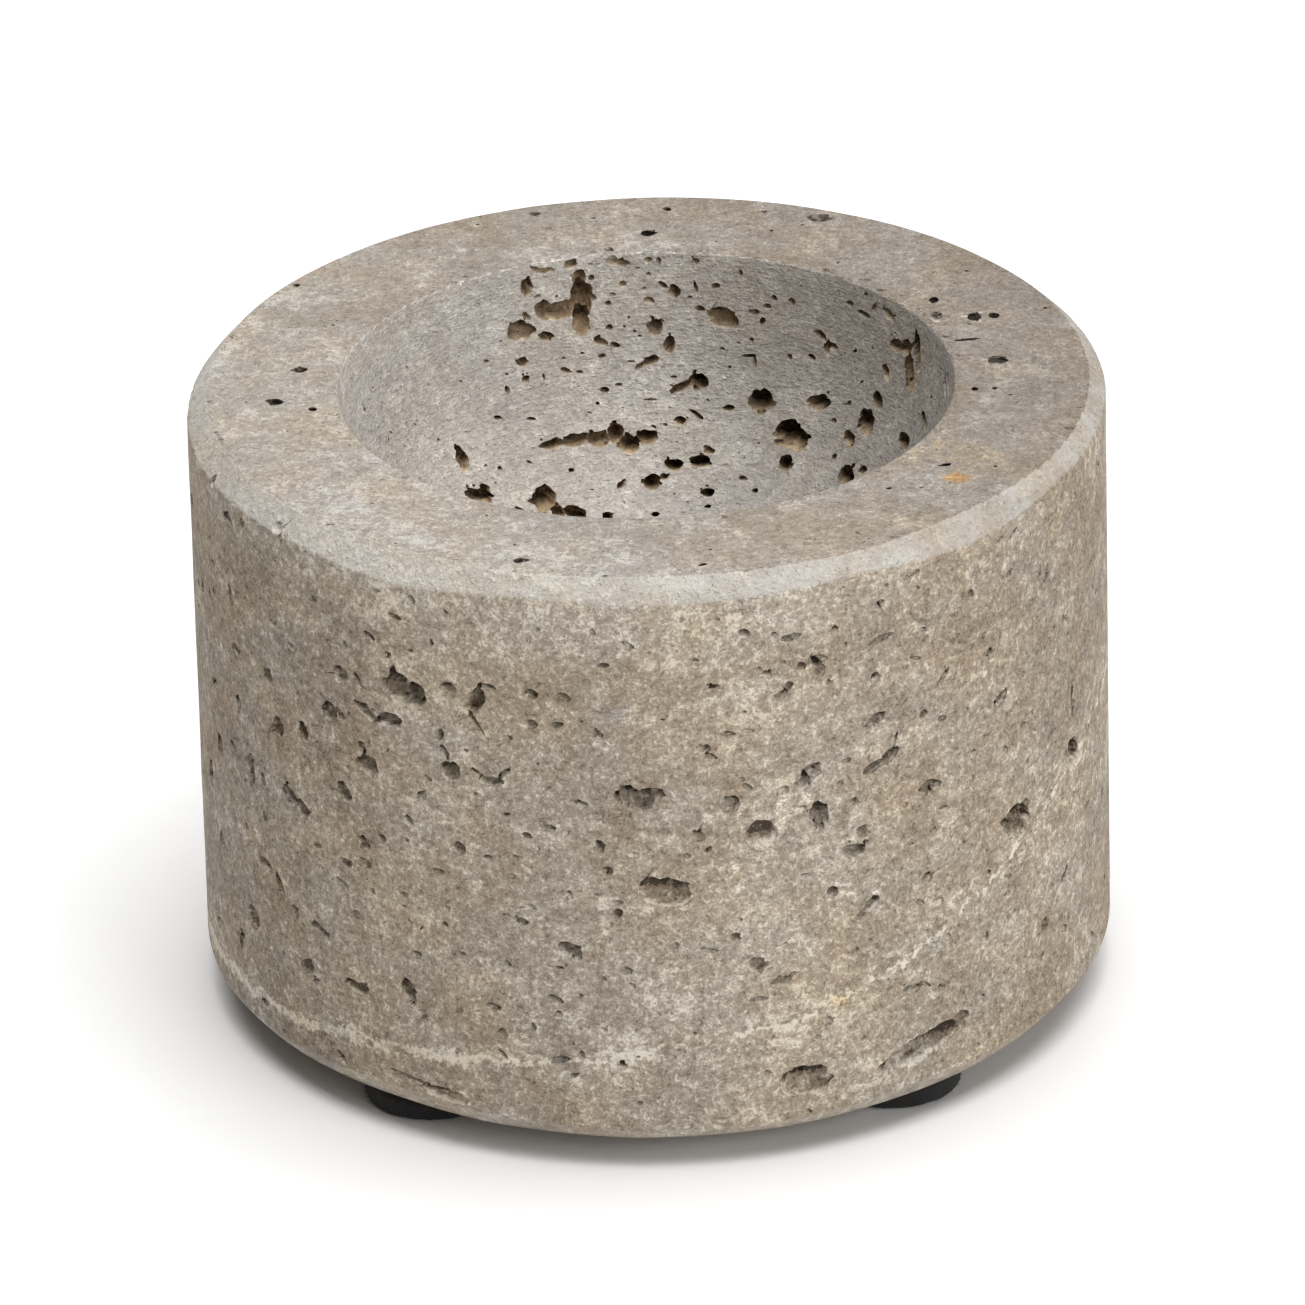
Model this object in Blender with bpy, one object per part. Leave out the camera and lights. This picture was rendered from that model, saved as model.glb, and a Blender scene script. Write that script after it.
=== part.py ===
"""A small round bowl carved from one block of travertine, standing on four stick-on felt pads.

Frame: metres, +Z up, +X to the right, the front faces -Y. The origin is on the surface that the pads
stand on, on the stone's axis. The pads lie on one circle, a little nearer the front and back than a
square would put them: each stands at the same angle from the line through the front and the back.
"""

import math

import bmesh
import bpy

# The stone
STONE_RADIUS = 0.0500
STONE_HEIGHT = 0.0670
TOP_CHAMFER_INSET = 0.0022
TOP_CHAMFER_DROP = 0.0025
BOTTOM_CHAMFER = 0.0010
BOWL_RIM_RADIUS = 0.0335
BOWL_DEPTH = 0.0310
RIM_ROUNDING = 0.0008
TURNED_SEGMENTS = 72
BOWL_ARC_POINTS = 14
ROUNDING_POINTS = 3

# The felt pads and the adhesive that holds them
PAD_RADIUS = 0.0075
PAD_THICKNESS = 0.0022
PAD_EDGE_ROUNDING = 0.0004
PAD_EDGE_STEPS = 2
ADHESIVE_THICKNESS = 0.0002
ADHESIVE_INSET = 0.0004
LAYER_GAP = 0.0003
PAD_EDGE_MARGIN = 0.00168
PAD_ANGLE_DEGREES = 38.88
DISC_SEGMENTS = 32

PAD_PLACES = {
    "front_left": (-1, -1),
    "front_right": (1, -1),
    "back_left": (-1, 1),
    "back_right": (1, 1),
}

# Heights above the surface, from the pads up
ADHESIVE_BOTTOM = PAD_THICKNESS + LAYER_GAP
STONE_BOTTOM = ADHESIVE_BOTTOM + ADHESIVE_THICKNESS + LAYER_GAP
STONE_TOP = STONE_BOTTOM + STONE_HEIGHT

# Places under the flat of the base: each pad lies inside its edge by a margin
PAD_CIRCLE_RADIUS = STONE_RADIUS - BOTTOM_CHAMFER - PAD_EDGE_MARGIN - PAD_RADIUS
PAD_SPREAD_X = PAD_CIRCLE_RADIUS * math.sin(math.radians(PAD_ANGLE_DEGREES))
PAD_SPREAD_Y = PAD_CIRCLE_RADIUS * math.cos(math.radians(PAD_ANGLE_DEGREES))

TRAVERTINE = {"colour": (0.42, 0.37, 0.31), "roughness": 0.85}
BLACK_FELT = {"colour": (0.012, 0.012, 0.013), "roughness": 0.95}
CLEAR_ADHESIVE = {"colour": (0.55, 0.53, 0.48), "roughness": 0.45}


def material(name, finish):
    """A plain, non-metallic Principled material."""
    made = bpy.data.materials.new(name)
    made.use_nodes = True
    shader = made.node_tree.nodes["Principled BSDF"]
    shader.inputs["Base Color"].default_value = (*finish["colour"], 1.0)
    shader.inputs["Roughness"].default_value = finish["roughness"]
    shader.inputs["Metallic"].default_value = 0.0
    return made


def add_object(name, mesh, finish, location=(0.0, 0.0, 0.0)):
    """One named object of this mesh, round faces smooth and edges over 30 degrees sharp."""
    mesh.materials.append(finish)
    mesh.shade_smooth()
    mesh.set_sharp_from_angle(angle=math.radians(30))
    made = bpy.data.objects.new(name, mesh)
    made.location = location
    bpy.context.scene.collection.objects.link(made)
    return made


def arc(centre, radius, start, end, steps):
    """Points (r, z) on a circle about centre, from the start angle to the end one, both included."""
    return [
        (
            centre[0] + radius * math.cos(start + (end - start) * i / steps),
            centre[1] + radius * math.sin(start + (end - start) * i / steps),
        )
        for i in range(steps + 1)
    ]


def bowl_ball():
    """Radius of the ball whose cap is the bowl, and the height of the ball's centre.

    The cap passes through the rim's circle and reaches BOWL_DEPTH below it.
    """
    radius = (BOWL_RIM_RADIUS**2 + BOWL_DEPTH**2) / (2 * BOWL_DEPTH)
    return radius, STONE_TOP - BOWL_DEPTH + radius


def stone_profile():
    """Half outline (r, z) from the bowl's centre over the rim, down the outside and in under the base."""
    ball_radius, ball_height = bowl_ball()
    # The rim's small round touches the flat top above and the bowl's ball at its side.
    round_height = STONE_TOP - RIM_ROUNDING
    round_radius = math.sqrt((ball_radius + RIM_ROUNDING) ** 2 - (round_height - ball_height) ** 2)
    touch = math.atan2(round_height - ball_height, round_radius)
    bowl = arc((0.0, ball_height), ball_radius, -math.pi / 2, touch, BOWL_ARC_POINTS)
    rim = arc((round_radius, round_height), RIM_ROUNDING, math.pi + touch, math.pi / 2, ROUNDING_POINTS)
    outside = [
        (STONE_RADIUS - TOP_CHAMFER_INSET, STONE_TOP),
        (STONE_RADIUS, STONE_TOP - TOP_CHAMFER_DROP),
        (STONE_RADIUS, STONE_BOTTOM + BOTTOM_CHAMFER),
        (STONE_RADIUS - BOTTOM_CHAMFER, STONE_BOTTOM),
        (0.0, STONE_BOTTOM),
    ]
    return bowl + rim[1:] + outside


def turned(profile, segments):
    """A closed mesh turned about Z from an outline that starts and ends on the axis."""
    made = bmesh.new()
    points = [made.verts.new((r, 0.0, z)) for r, z in profile]
    edges = [made.edges.new(pair) for pair in zip(points, points[1:])]
    bmesh.ops.spin(
        made,
        geom=points + edges,
        cent=(0.0, 0.0, 0.0),
        axis=(0.0, 0.0, 1.0),
        angle=2 * math.pi,
        steps=segments,
        use_merge=True,
    )
    bmesh.ops.remove_doubles(made, verts=made.verts, dist=1e-7)
    bmesh.ops.dissolve_degenerate(made, edges=made.edges, dist=1e-7)
    bmesh.ops.recalc_face_normals(made, faces=made.faces)
    mesh = bpy.data.meshes.new("turned")
    made.to_mesh(mesh)
    made.free()
    return mesh


def disc(radius, thickness):
    """A flat round disc standing on z = 0."""
    made = bmesh.new()
    bmesh.ops.create_cone(
        made,
        cap_ends=True,
        segments=DISC_SEGMENTS,
        radius1=radius,
        radius2=radius,
        depth=thickness,
    )
    bmesh.ops.translate(made, verts=made.verts, vec=(0.0, 0.0, thickness / 2))
    mesh = bpy.data.meshes.new("disc")
    made.to_mesh(mesh)
    made.free()
    return mesh


def add_stone():
    add_object("stone_bowl", turned(stone_profile(), TURNED_SEGMENTS), material("travertine", TRAVERTINE))


def add_pads():
    """Four felt pads with softly rounded edges, each under its own disc of adhesive."""
    felt = material("black_felt", BLACK_FELT)
    adhesive = material("clear_adhesive", CLEAR_ADHESIVE)
    for place, (side_x, side_y) in PAD_PLACES.items():
        x = side_x * PAD_SPREAD_X
        y = side_y * PAD_SPREAD_Y
        pad = add_object(f"felt_pad_{place}", disc(PAD_RADIUS, PAD_THICKNESS), felt, (x, y, 0.0))
        edge = pad.modifiers.new("edge_rounding", "BEVEL")
        edge.width = PAD_EDGE_ROUNDING
        edge.segments = PAD_EDGE_STEPS
        edge.limit_method = "ANGLE"
        edge.angle_limit = math.radians(60)
        add_object(
            f"adhesive_disc_{place}",
            disc(PAD_RADIUS - ADHESIVE_INSET, ADHESIVE_THICKNESS),
            adhesive,
            (x, y, ADHESIVE_BOTTOM),
        )


def clear_scene():
    for obj in list(bpy.data.objects):
        bpy.data.objects.remove(obj, do_unlink=True)


def main():
    clear_scene()
    add_stone()
    add_pads()


main()
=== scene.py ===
"""A small round mortar bowl carved from porous travertine, on four stick-on felt pads.

Run as a script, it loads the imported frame, carves the stone with all its pores, makes the felt pads and
their adhesive, and sets them on a pale studio floor. Everything is in metres, in the frame's own axes.
"""

import math

import bpy
import numpy as np
from bpy.props import FloatProperty, FloatVectorProperty, IntProperty, PointerProperty
from bpy.types import Operator, Panel, PropertyGroup
from mathutils import Matrix, Vector


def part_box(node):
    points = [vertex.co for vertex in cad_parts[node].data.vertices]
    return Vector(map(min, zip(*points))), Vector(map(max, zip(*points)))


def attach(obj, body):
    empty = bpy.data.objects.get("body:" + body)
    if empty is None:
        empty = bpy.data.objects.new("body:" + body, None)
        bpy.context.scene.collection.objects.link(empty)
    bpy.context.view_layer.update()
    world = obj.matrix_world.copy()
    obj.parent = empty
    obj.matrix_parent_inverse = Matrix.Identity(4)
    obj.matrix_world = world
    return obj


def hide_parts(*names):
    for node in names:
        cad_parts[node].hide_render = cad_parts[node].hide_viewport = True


bl_info = {
    "name": "Travertine mortar bowl",
    "version": (1, 0, 0),
    "blender": (4, 5, 0),
    "location": "3D View > Sidebar > Mortar bowl",
    "description": "Carves a porous stone bowl, seats it on felt pads and lights it on a pale floor",
    "category": "Object",
}

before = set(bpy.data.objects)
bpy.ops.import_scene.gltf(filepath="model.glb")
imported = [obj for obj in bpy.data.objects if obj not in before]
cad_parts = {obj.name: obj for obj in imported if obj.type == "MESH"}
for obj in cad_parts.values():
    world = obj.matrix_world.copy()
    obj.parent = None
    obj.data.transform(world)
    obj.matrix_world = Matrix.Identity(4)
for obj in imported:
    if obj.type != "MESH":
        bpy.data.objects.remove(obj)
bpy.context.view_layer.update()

MM = 0.001
BODY = "root"
STONE_NODE = "stone_bowl"
PLACES = ("front_left", "front_right", "back_left", "back_right")

# The gap that the CAD leaves between two layers, and the sliver that stays of it in the model
LAYER_GAP = 0.3 * MM
SLIVER = 0.02 * MM

# How far a lump's surface wanders, as a share of its size: in the bowl, elsewhere, and in a shallow one
BOWL_LUMPS = 0.34
LUMPS = 0.28
SHALLOW_LUMPS = 0.14

# A pore counts as shallow under this share of its least half width, and its ball's middle then stands
# outside the surface by the second share of its half depth
SHALLOW_SHARE = 0.6
SHALLOW_SUNK = -0.35

# Clearance kept between two scattered pores, and how much of its size a pore keeps free round it
PORE_CLEARANCE = 0.1 * MM
PORE_REACH = 1.15

# ---------------------------------------------------------------------------------------------------
# The voids that give this block its face. Each row is an angle about the axis in degrees, a height
# above the surface (on the wall) or a distance from the axis (on the rim and in the bowl) in mm, and
# the lobes of the void. A lobe is: right, up, half width, half height in mm, turn in degrees, depth in
# mm. Right and up are seen from outside the stone; on the rim and in the bowl they are seen from above
# the front. A void of one lobe, in the middle of its place, goes on with half width, half height, turn
# and depth.
# ---------------------------------------------------------------------------------------------------

WALL_VOIDS = (
    (-122, 54.5, ((-1, 0.4, 1.6, 1.8, 0, 2.4), (1.2, -0.2, 1.4, 1.6, 0, 2.8),
        (-0.6, -1.2, 1.2, 0.9, 0, 1.2))),
    (-116, 55.5, 1.1, 1.3, 0, 0.9),
    (-112, 55, ((-0.2, 0.2, 1, 1.9, -28, 2.2), (1.2, 2, 1, 0.35, -8, 1),
        (-0.3, -2.6, 0.3, 1.7, 35, 0.8))),
    (-134, 49, ((0, 0, 1.2, 1.3, 0, 1.5), (1.7, 0.1, 0.5, 0.5, 0, 0.8))),
    (-126, 50.5, ((-1.6, 0.2, 1.8, 0.8, -25, 1.4), (1.4, 0, 1.7, 0.9, 5, 1.4))),
    (-132, 54, 1.1, 1.1, 0, 0.8), (-129, 54, 0.4, 1.1, 30, 0.9),
    (-128, 44.5, ((0, 0, 1.5, 1.2, 0, 1.8), (-0.7, 1.6, 0.5, 0.9, 30, 0.9))),
    (-116, 46, ((0, 0, 1.2, 1.3, 0, 1.6), (-0.6, 2.2, 0.5, 1, 25, 1), (-1, 4.2, 0.5, 0.8, -20, 1.2))),
    (-111, 46, ((-0.9, 0.2, 1.3, 0.35, -35, 0.8), (0.5, -0.3, 1.5, 0.6, 5, 1.6),
        (1.9, 0.8, 1, 0.35, 45, 1))),
    (-141, 36, ((-0.8, 0.6, 1.5, 1, -30, 1.8), (1.2, -0.4, 1.2, 1.1, 0, 1.8))),
    (-132, 40, 0.9, 1.4, 20, 1.5), (-146, 49.5, 0.9, 0.8, -35, 1.3), (-154, 49.5, 1, 0.9, -30, 1.4),
    (-144, 44, 0.9, 1.4, 8, 1.4), (-139, 45, 0.7, 1.3, 15, 1.3),
    (-151, 36.5, ((0, 0.9, 0.7, 1, 5, 1.3), (0.2, -1.1, 0.6, 1.4, -10, 1.2))),
    (-161, 35, 0.8, 1.6, 10, 1.2), (-166, 30, 1, 1.7, 0, 1.4), (-137, 32, 0.6, 0.4, 0, 0.8),
    (-122, 39, 0.6, 0.5, -30, 1), (-129, 34.5, 1, 0.8, -35, 1.3), (-115, 37, 0.7, 0.9, 30, 1.3),
    (-92, 45, ((-1.3, 0.4, 1.2, 1.2, 0, 2.6), (1.3, 0.5, 1.6, 0.75, 5, 2.6),
        (0, -0.3, 1.4, 1.1, 0, 2.4))),
    (-89, 33.5, 2.9, 1.9, -12, 1.5),
    (-81, 43.5, ((0, 0, 1.1, 1.3, -15, 1.3), (1.2, 2.9, 0.5, 0.4, 0, 1),
        (2, 1.9, 0.7, 0.35, -40, 0.9))),
    (-77, 39, 2, 2.1, 0, 0.7),
    (-71, 45.5, ((0.2, 0.7, 1.2, 0.9, 30, 1.8), (-0.6, -0.6, 0.8, 1, -20, 1.6))),
    (-70, 40.5, ((0.3, 0.2, 1.2, 1.7, 15, 2.2), (-1.9, 1.2, 1, 0.6, -10, 0.7))),
    (-65, 36, ((0, 0, 1.5, 0.95, 0, 2.8), (0.8, 1.7, 0.7, 0.7, 0, 1))),
    (-70, 58.5, ((-1.4, 0.3, 0.6, 0.5, -30, 1.2), (0.3, 0.9, 1.2, 0.6, 0, 1.6),
        (0.5, -0.4, 0.7, 1, 15, 1.4))),
    (-68, 56, 0.5, 0.5, 0, 0.9), (-77, 59, ((0, 0, 0.4, 0.5, 0, 0.8), (0.9, -0.7, 0.6, 0.55, 0, 0.9))),
    (-74, 56, ((0.5, 0.7, 0.6, 0.5, 20, 1.2), (-0.4, -0.4, 1, 0.55, 40, 1))),
    (-61, 45.5, ((-1.2, -0.5, 1.4, 0.6, 20, 1.6), (0.8, 0.3, 1.3, 0.8, 30, 1.8),
        (1.7, 1.9, 0.2, 1.1, -15, 0.8))),
    (-62, 50.5, 1.4, 0.7, 30, 1.2), (-54, 40.5, 1.5, 0.9, 0, 1.6),
    (-39, 31.5, ((0, 0, 2.2, 2.1, 0, 3.2), (1.5, 1.2, 0.9, 0.7, 0, 1.4))), (-25, 34, 1.5, 2.2, 0, 2.2),
    (-78, 24, 1, 1.1, -30, 1.6),
    (-75, 21.5, ((0, 0, 1.3, 0.6, 15, 1.4), (1.2, 0.7, 0.5, 0.3, 40, 0.8))),
    (-57, 17, ((-0.3, 0, 1.3, 0.6, 0, 1.4), (1.6, -0.1, 0.9, 0.25, -35, 0.8))),
    (-63, 28.5, ((0, 0, 1.3, 0.7, 40, 1.5), (-1.2, -0.9, 0.8, 0.4, 30, 0.9))),
    (-56, 9.5, ((0.4, 0, 5.6, 1.5, 13, 1.7), (5.6, 1.8, 1.3, 0.9, 0, 1.8),
        (-5.2, -1.8, 2, 0.9, 35, 0.8))),
    (-72, 9, ((0, 0, 3, 1.8, 0, 1.5), (-1, 0.2, 1.2, 1, 0, 2.2))),
    (-131, 16.5, ((0, 0, 1.7, 0.7, -10, 1.4), (1, 0.3, 0.8, 0.6, 0, 1.2))),
    (-123, 18, ((0, 0.3, 0.9, 1.5, 10, 1.6), (0.6, -1, 0.6, 0.6, 0, 1))), (-140, 16.5, 1, 0.9, 0, 1.4),
    (-152, 18, 1.3, 1.4, 0, 1.4), (-156, 13.5, 0.5, 1.5, 0, 1.2),
    (-101, 26.5, ((0, 0, 1.3, 0.8, -20, 1.4), (0.6, -0.5, 0.7, 0.8, 0, 1.4))),
    (-108, 29.5, 1.4, 0.35, -15, 0.9),
    (-97, 39, ((0, 0, 0.5, 0.8, 15, 1.2), (0.8, -2.9, 0.6, 0.6, 0, 1))),
    (-120, 7, ((-2.6, 0.6, 2.6, 0.3, -8, 1.2), (1.8, -0.5, 3, 0.8, -5, 0.8))),
    (-155, 65, 1, 0.8, -20, 1.4), (-151, 66, 0.6, 0.6, -20, 1.1),
    (-143, 67.5, ((-0.5, 0.3, 0.8, 0.5, -30, 1.2), (0.6, -0.5, 0.4, 0.9, 10, 1.2))),
    (-39, 66, 0.8, 0.3, 30, 0.9), (-42, 66, 1, 0.25, 20, 0.8), (-40, 61.5, 0.5, 0.5, 0, 0.9),
    (-57, 66, 0.5, 0.5, 0, 0.9), (-81, 52, 0.8, 0.35, -10, 0.9),
    (-79, 52, ((0.4, 0, 0.8, 0.35, -5, 0.9),)), (-66, 46.5, 0.6, 0.35, 0, 0.8),
    (-67, 44, 0.5, 0.4, 0, 0.8), (-65, 41.5, 0.6, 0.45, 0, 0.9), (-85, 61, 0.5, 0.2, -15, 0.6),
    (-74, 59.5, 0.4, 0.3, 0, 0.7),
    (-84, 50, ((0, 0.3, 0.7, 0.6, 0, 1), (0.8, -0.6, 0.8, 0.3, -30, 0.8))), (-85, 40, 0.8, 0.7, 0, 0.9),
    (-97, 52.5, 0.6, 0.5, 0, 1), (-161, 57.5, 0.7, 0.4, 0, 0.9), (-161, 54, 0.4, 0.5, 0, 0.9),
    (-155, 56, 0.5, 1.3, 15, 1.1), (-141, 54.3, 0.7, 0.8, 0, 0.4), (-123, 63.1, 0.9, 0.35, -10, 1),
    (-127, 59.9, 0.75, 0.35, -25, 1), (-131, 57.8, 0.35, 0.5, 20, 0.8), (-121, 59.5, 0.4, 0.3, 0, 0.8),
    (-118, 61, 0.25, 0.5, 15, 0.8), (-104, 64.4, 0.3, 0.25, 0, 0.8), (-162, 42.5, 1.1, 0.65, 0, 1.2),
    (-154, 43.2, 0.8, 0.8, 10, 1.2), (-139, 50.9, 0.3, 0.4, 0, 0.7), (-105, 56.7, 0.7, 0.6, -15, 1.4),
    (-101, 56.6, 0.8, 0.5, -20, 0.9), (-102, 53.3, 0.85, 0.4, 10, 1.4), (-99, 53.9, 0.35, 0.25, 0, 0.9),
    (-156, 37.3, 0.9, 0.4, -20, 1), (-148, 36.3, 0.45, 0.8, 10, 0.9), (-108, 51.2, 0.45, 0.35, 0, 0.8),
    (-119, 44.7, 0.6, 0.3, -40, 0.9), (-148, 31.7, 0.5, 0.7, -15, 0.9),
    (-132, 31.4, 0.8, 0.55, -15, 1.2), (-129, 32.2, 1, 0.6, 0, 0.9), (-119, 36.8, 0.55, 0.4, 0, 0.5),
    (-106, 39.7, 0.7, 0.4, -20, 1.3), (-103, 41, 0.7, 0.3, -15, 0.9), (-162, 23.4, 0.8, 1, 0, 1),
    (-133, 28.7, 1, 0.35, -10, 0.9), (-118, 33.3, 0.85, 0.75, 0, 0.6), (-148, 25.9, 1.3, 0.6, -15, 1.3),
    (-145, 24.2, 0.55, 1.6, 25, 0.9), (-117, 29.3, 0.4, 0.5, 20, 0.7),
    (-107, 29.3, 0.8, 0.45, -10, 1.3), (-142, 22.1, 0.7, 1, 0, 1.2), (-137, 21.6, 1.5, 0.6, -20, 1.1),
    (-164, 12.1, 1.2, 0.7, 0, 1.1), (-127, 23.6, 0.3, 0.35, 0, 0.8), (-115, 24.3, 0.35, 0.3, 0, 0.9),
    (-109, 23.9, 0.5, 0.3, -30, 1), (-121, 15.7, 0.8, 0.5, -15, 0.5), (-111, 18.4, 0.95, 0.4, -10, 0.9),
    (-106, 16.6, 0.35, 0.55, 10, 0.8), (-110, 15.2, 0.6, 0.75, 0, 0.9),
    (-110, 12.8, 0.8, 0.4, -40, 1.3), (-103, 13, 1.3, 0.5, 5, 1.2), (-100, 13.6, 0.4, 0.6, 0, 1.1),
    (-150, 8.3, 0.7, 0.5, 0, 0.9), (-134, 6.9, 1.1, 0.5, -45, 1.1), (-93, 63.1, 0.9, 0.3, -30, 0.9),
    (-96, 60.6, 0.65, 0.35, 5, 1), (-82, 65.6, 0.35, 0.25, 0, 0.8), (-75, 62.6, 0.45, 0.75, 0, 0.5),
    (-73, 62.4, 1.1, 0.45, 5, 1), (-61, 60, 1.5, 0.4, 12, 1), (-66, 60.4, 0.45, 0.4, 0, 0.9),
    (-85, 61, 0.65, 0.25, -10, 0.9), (-79, 54.3, 0.35, 0.25, 0, 0.8), (-93, 38, 0.7, 0.45, 0, 0.35),
    (-101, 32.9, 0.5, 0.6, 0, 0.6), (-95, 31, 0.55, 0.65, -30, 1.4), (-95, 32.3, 0.6, 0.35, 0, 1),
    (-94, 24, 0.6, 0.5, 30, 1.1), (-97, 23.1, 0.45, 0.3, 0, 0.9), (-88, 27.1, 0.4, 0.45, 0, 1),
    (-84, 26.3, 1.1, 0.25, -15, 0.8), (-100, 20.9, 0.3, 0.4, 0, 1.1), (-103, 20.2, 0.9, 0.45, -25, 1),
    (-78, 19.7, 1.1, 0.35, 5, 1.1), (-86, 16.2, 0.3, 0.3, 0, 0.9), (-93, 8, 0.4, 0.25, 25, 1),
    (-65, 23.5, 0.3, 0.4, 0, 0.9), (-56, 66.4, 0.75, 0.4, 20, 1.4), (-60, 66.1, 0.35, 0.3, 0, 0.9),
    (-61, 64.2, 0.7, 0.35, 10, 1.2), (-61, 63.4, 0.3, 0.5, 0, 0.9), (-47, 61.4, 0.4, 0.6, 20, 1),
    (-32, 58.1, 0.7, 0.45, 40, 1), (-27, 51.1, 0.7, 0.7, 20, 1), (-56, 56.4, 0.8, 0.25, -20, 0.8),
    (-44, 53.4, 0.75, 0.5, 50, 1.4), (-52, 52.8, 1.5, 0.3, 48, 1), (-42, 47.4, 1.2, 0.8, 20, 1.5),
    (-55, 49.5, 0.6, 0.5, 40, 1.5), (-52, 48.1, 0.6, 0.4, -10, 1.1), (-36, 43, 0.8, 0.5, 40, 0.6),
    (-25, 40.7, 0.4, 2, 0, 0.9), (-43, 41.9, 0.35, 0.3, 0, 0.8), (-47, 42.2, 0.7, 0.6, 0, 0.5),
    (-41, 40.8, 0.4, 0.5, 20, 0.8), (-64, 41.4, 0.7, 0.4, 0, 0.6), (-52, 37.5, 0.6, 0.3, 0, 1.2),
    (-52, 34.8, 0.3, 0.25, 0, 1), (-20, 25.9, 0.9, 0.4, 0, 1.2), (-41, 25.5, 0.7, 0.25, -10, 0.8),
    (-29, 19.5, 2.6, 0.5, 45, 1), (-33, 16.6, 0.8, 0.9, 0, 1.4), (-28, 13.9, 0.7, 0.6, 0, 1),
    (-53, 26.2, 0.7, 0.6, 0, 0.5), (-45, 19.6, 0.25, 0.6, 0, 0.9), (-34, 12.9, 0.8, 0.4, 30, 1.3),
    (-53, 15.9, 0.2, 0.4, -30, 0.9), (-69, 15.7, 0.7, 0.6, 0, 0.8),
)


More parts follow.
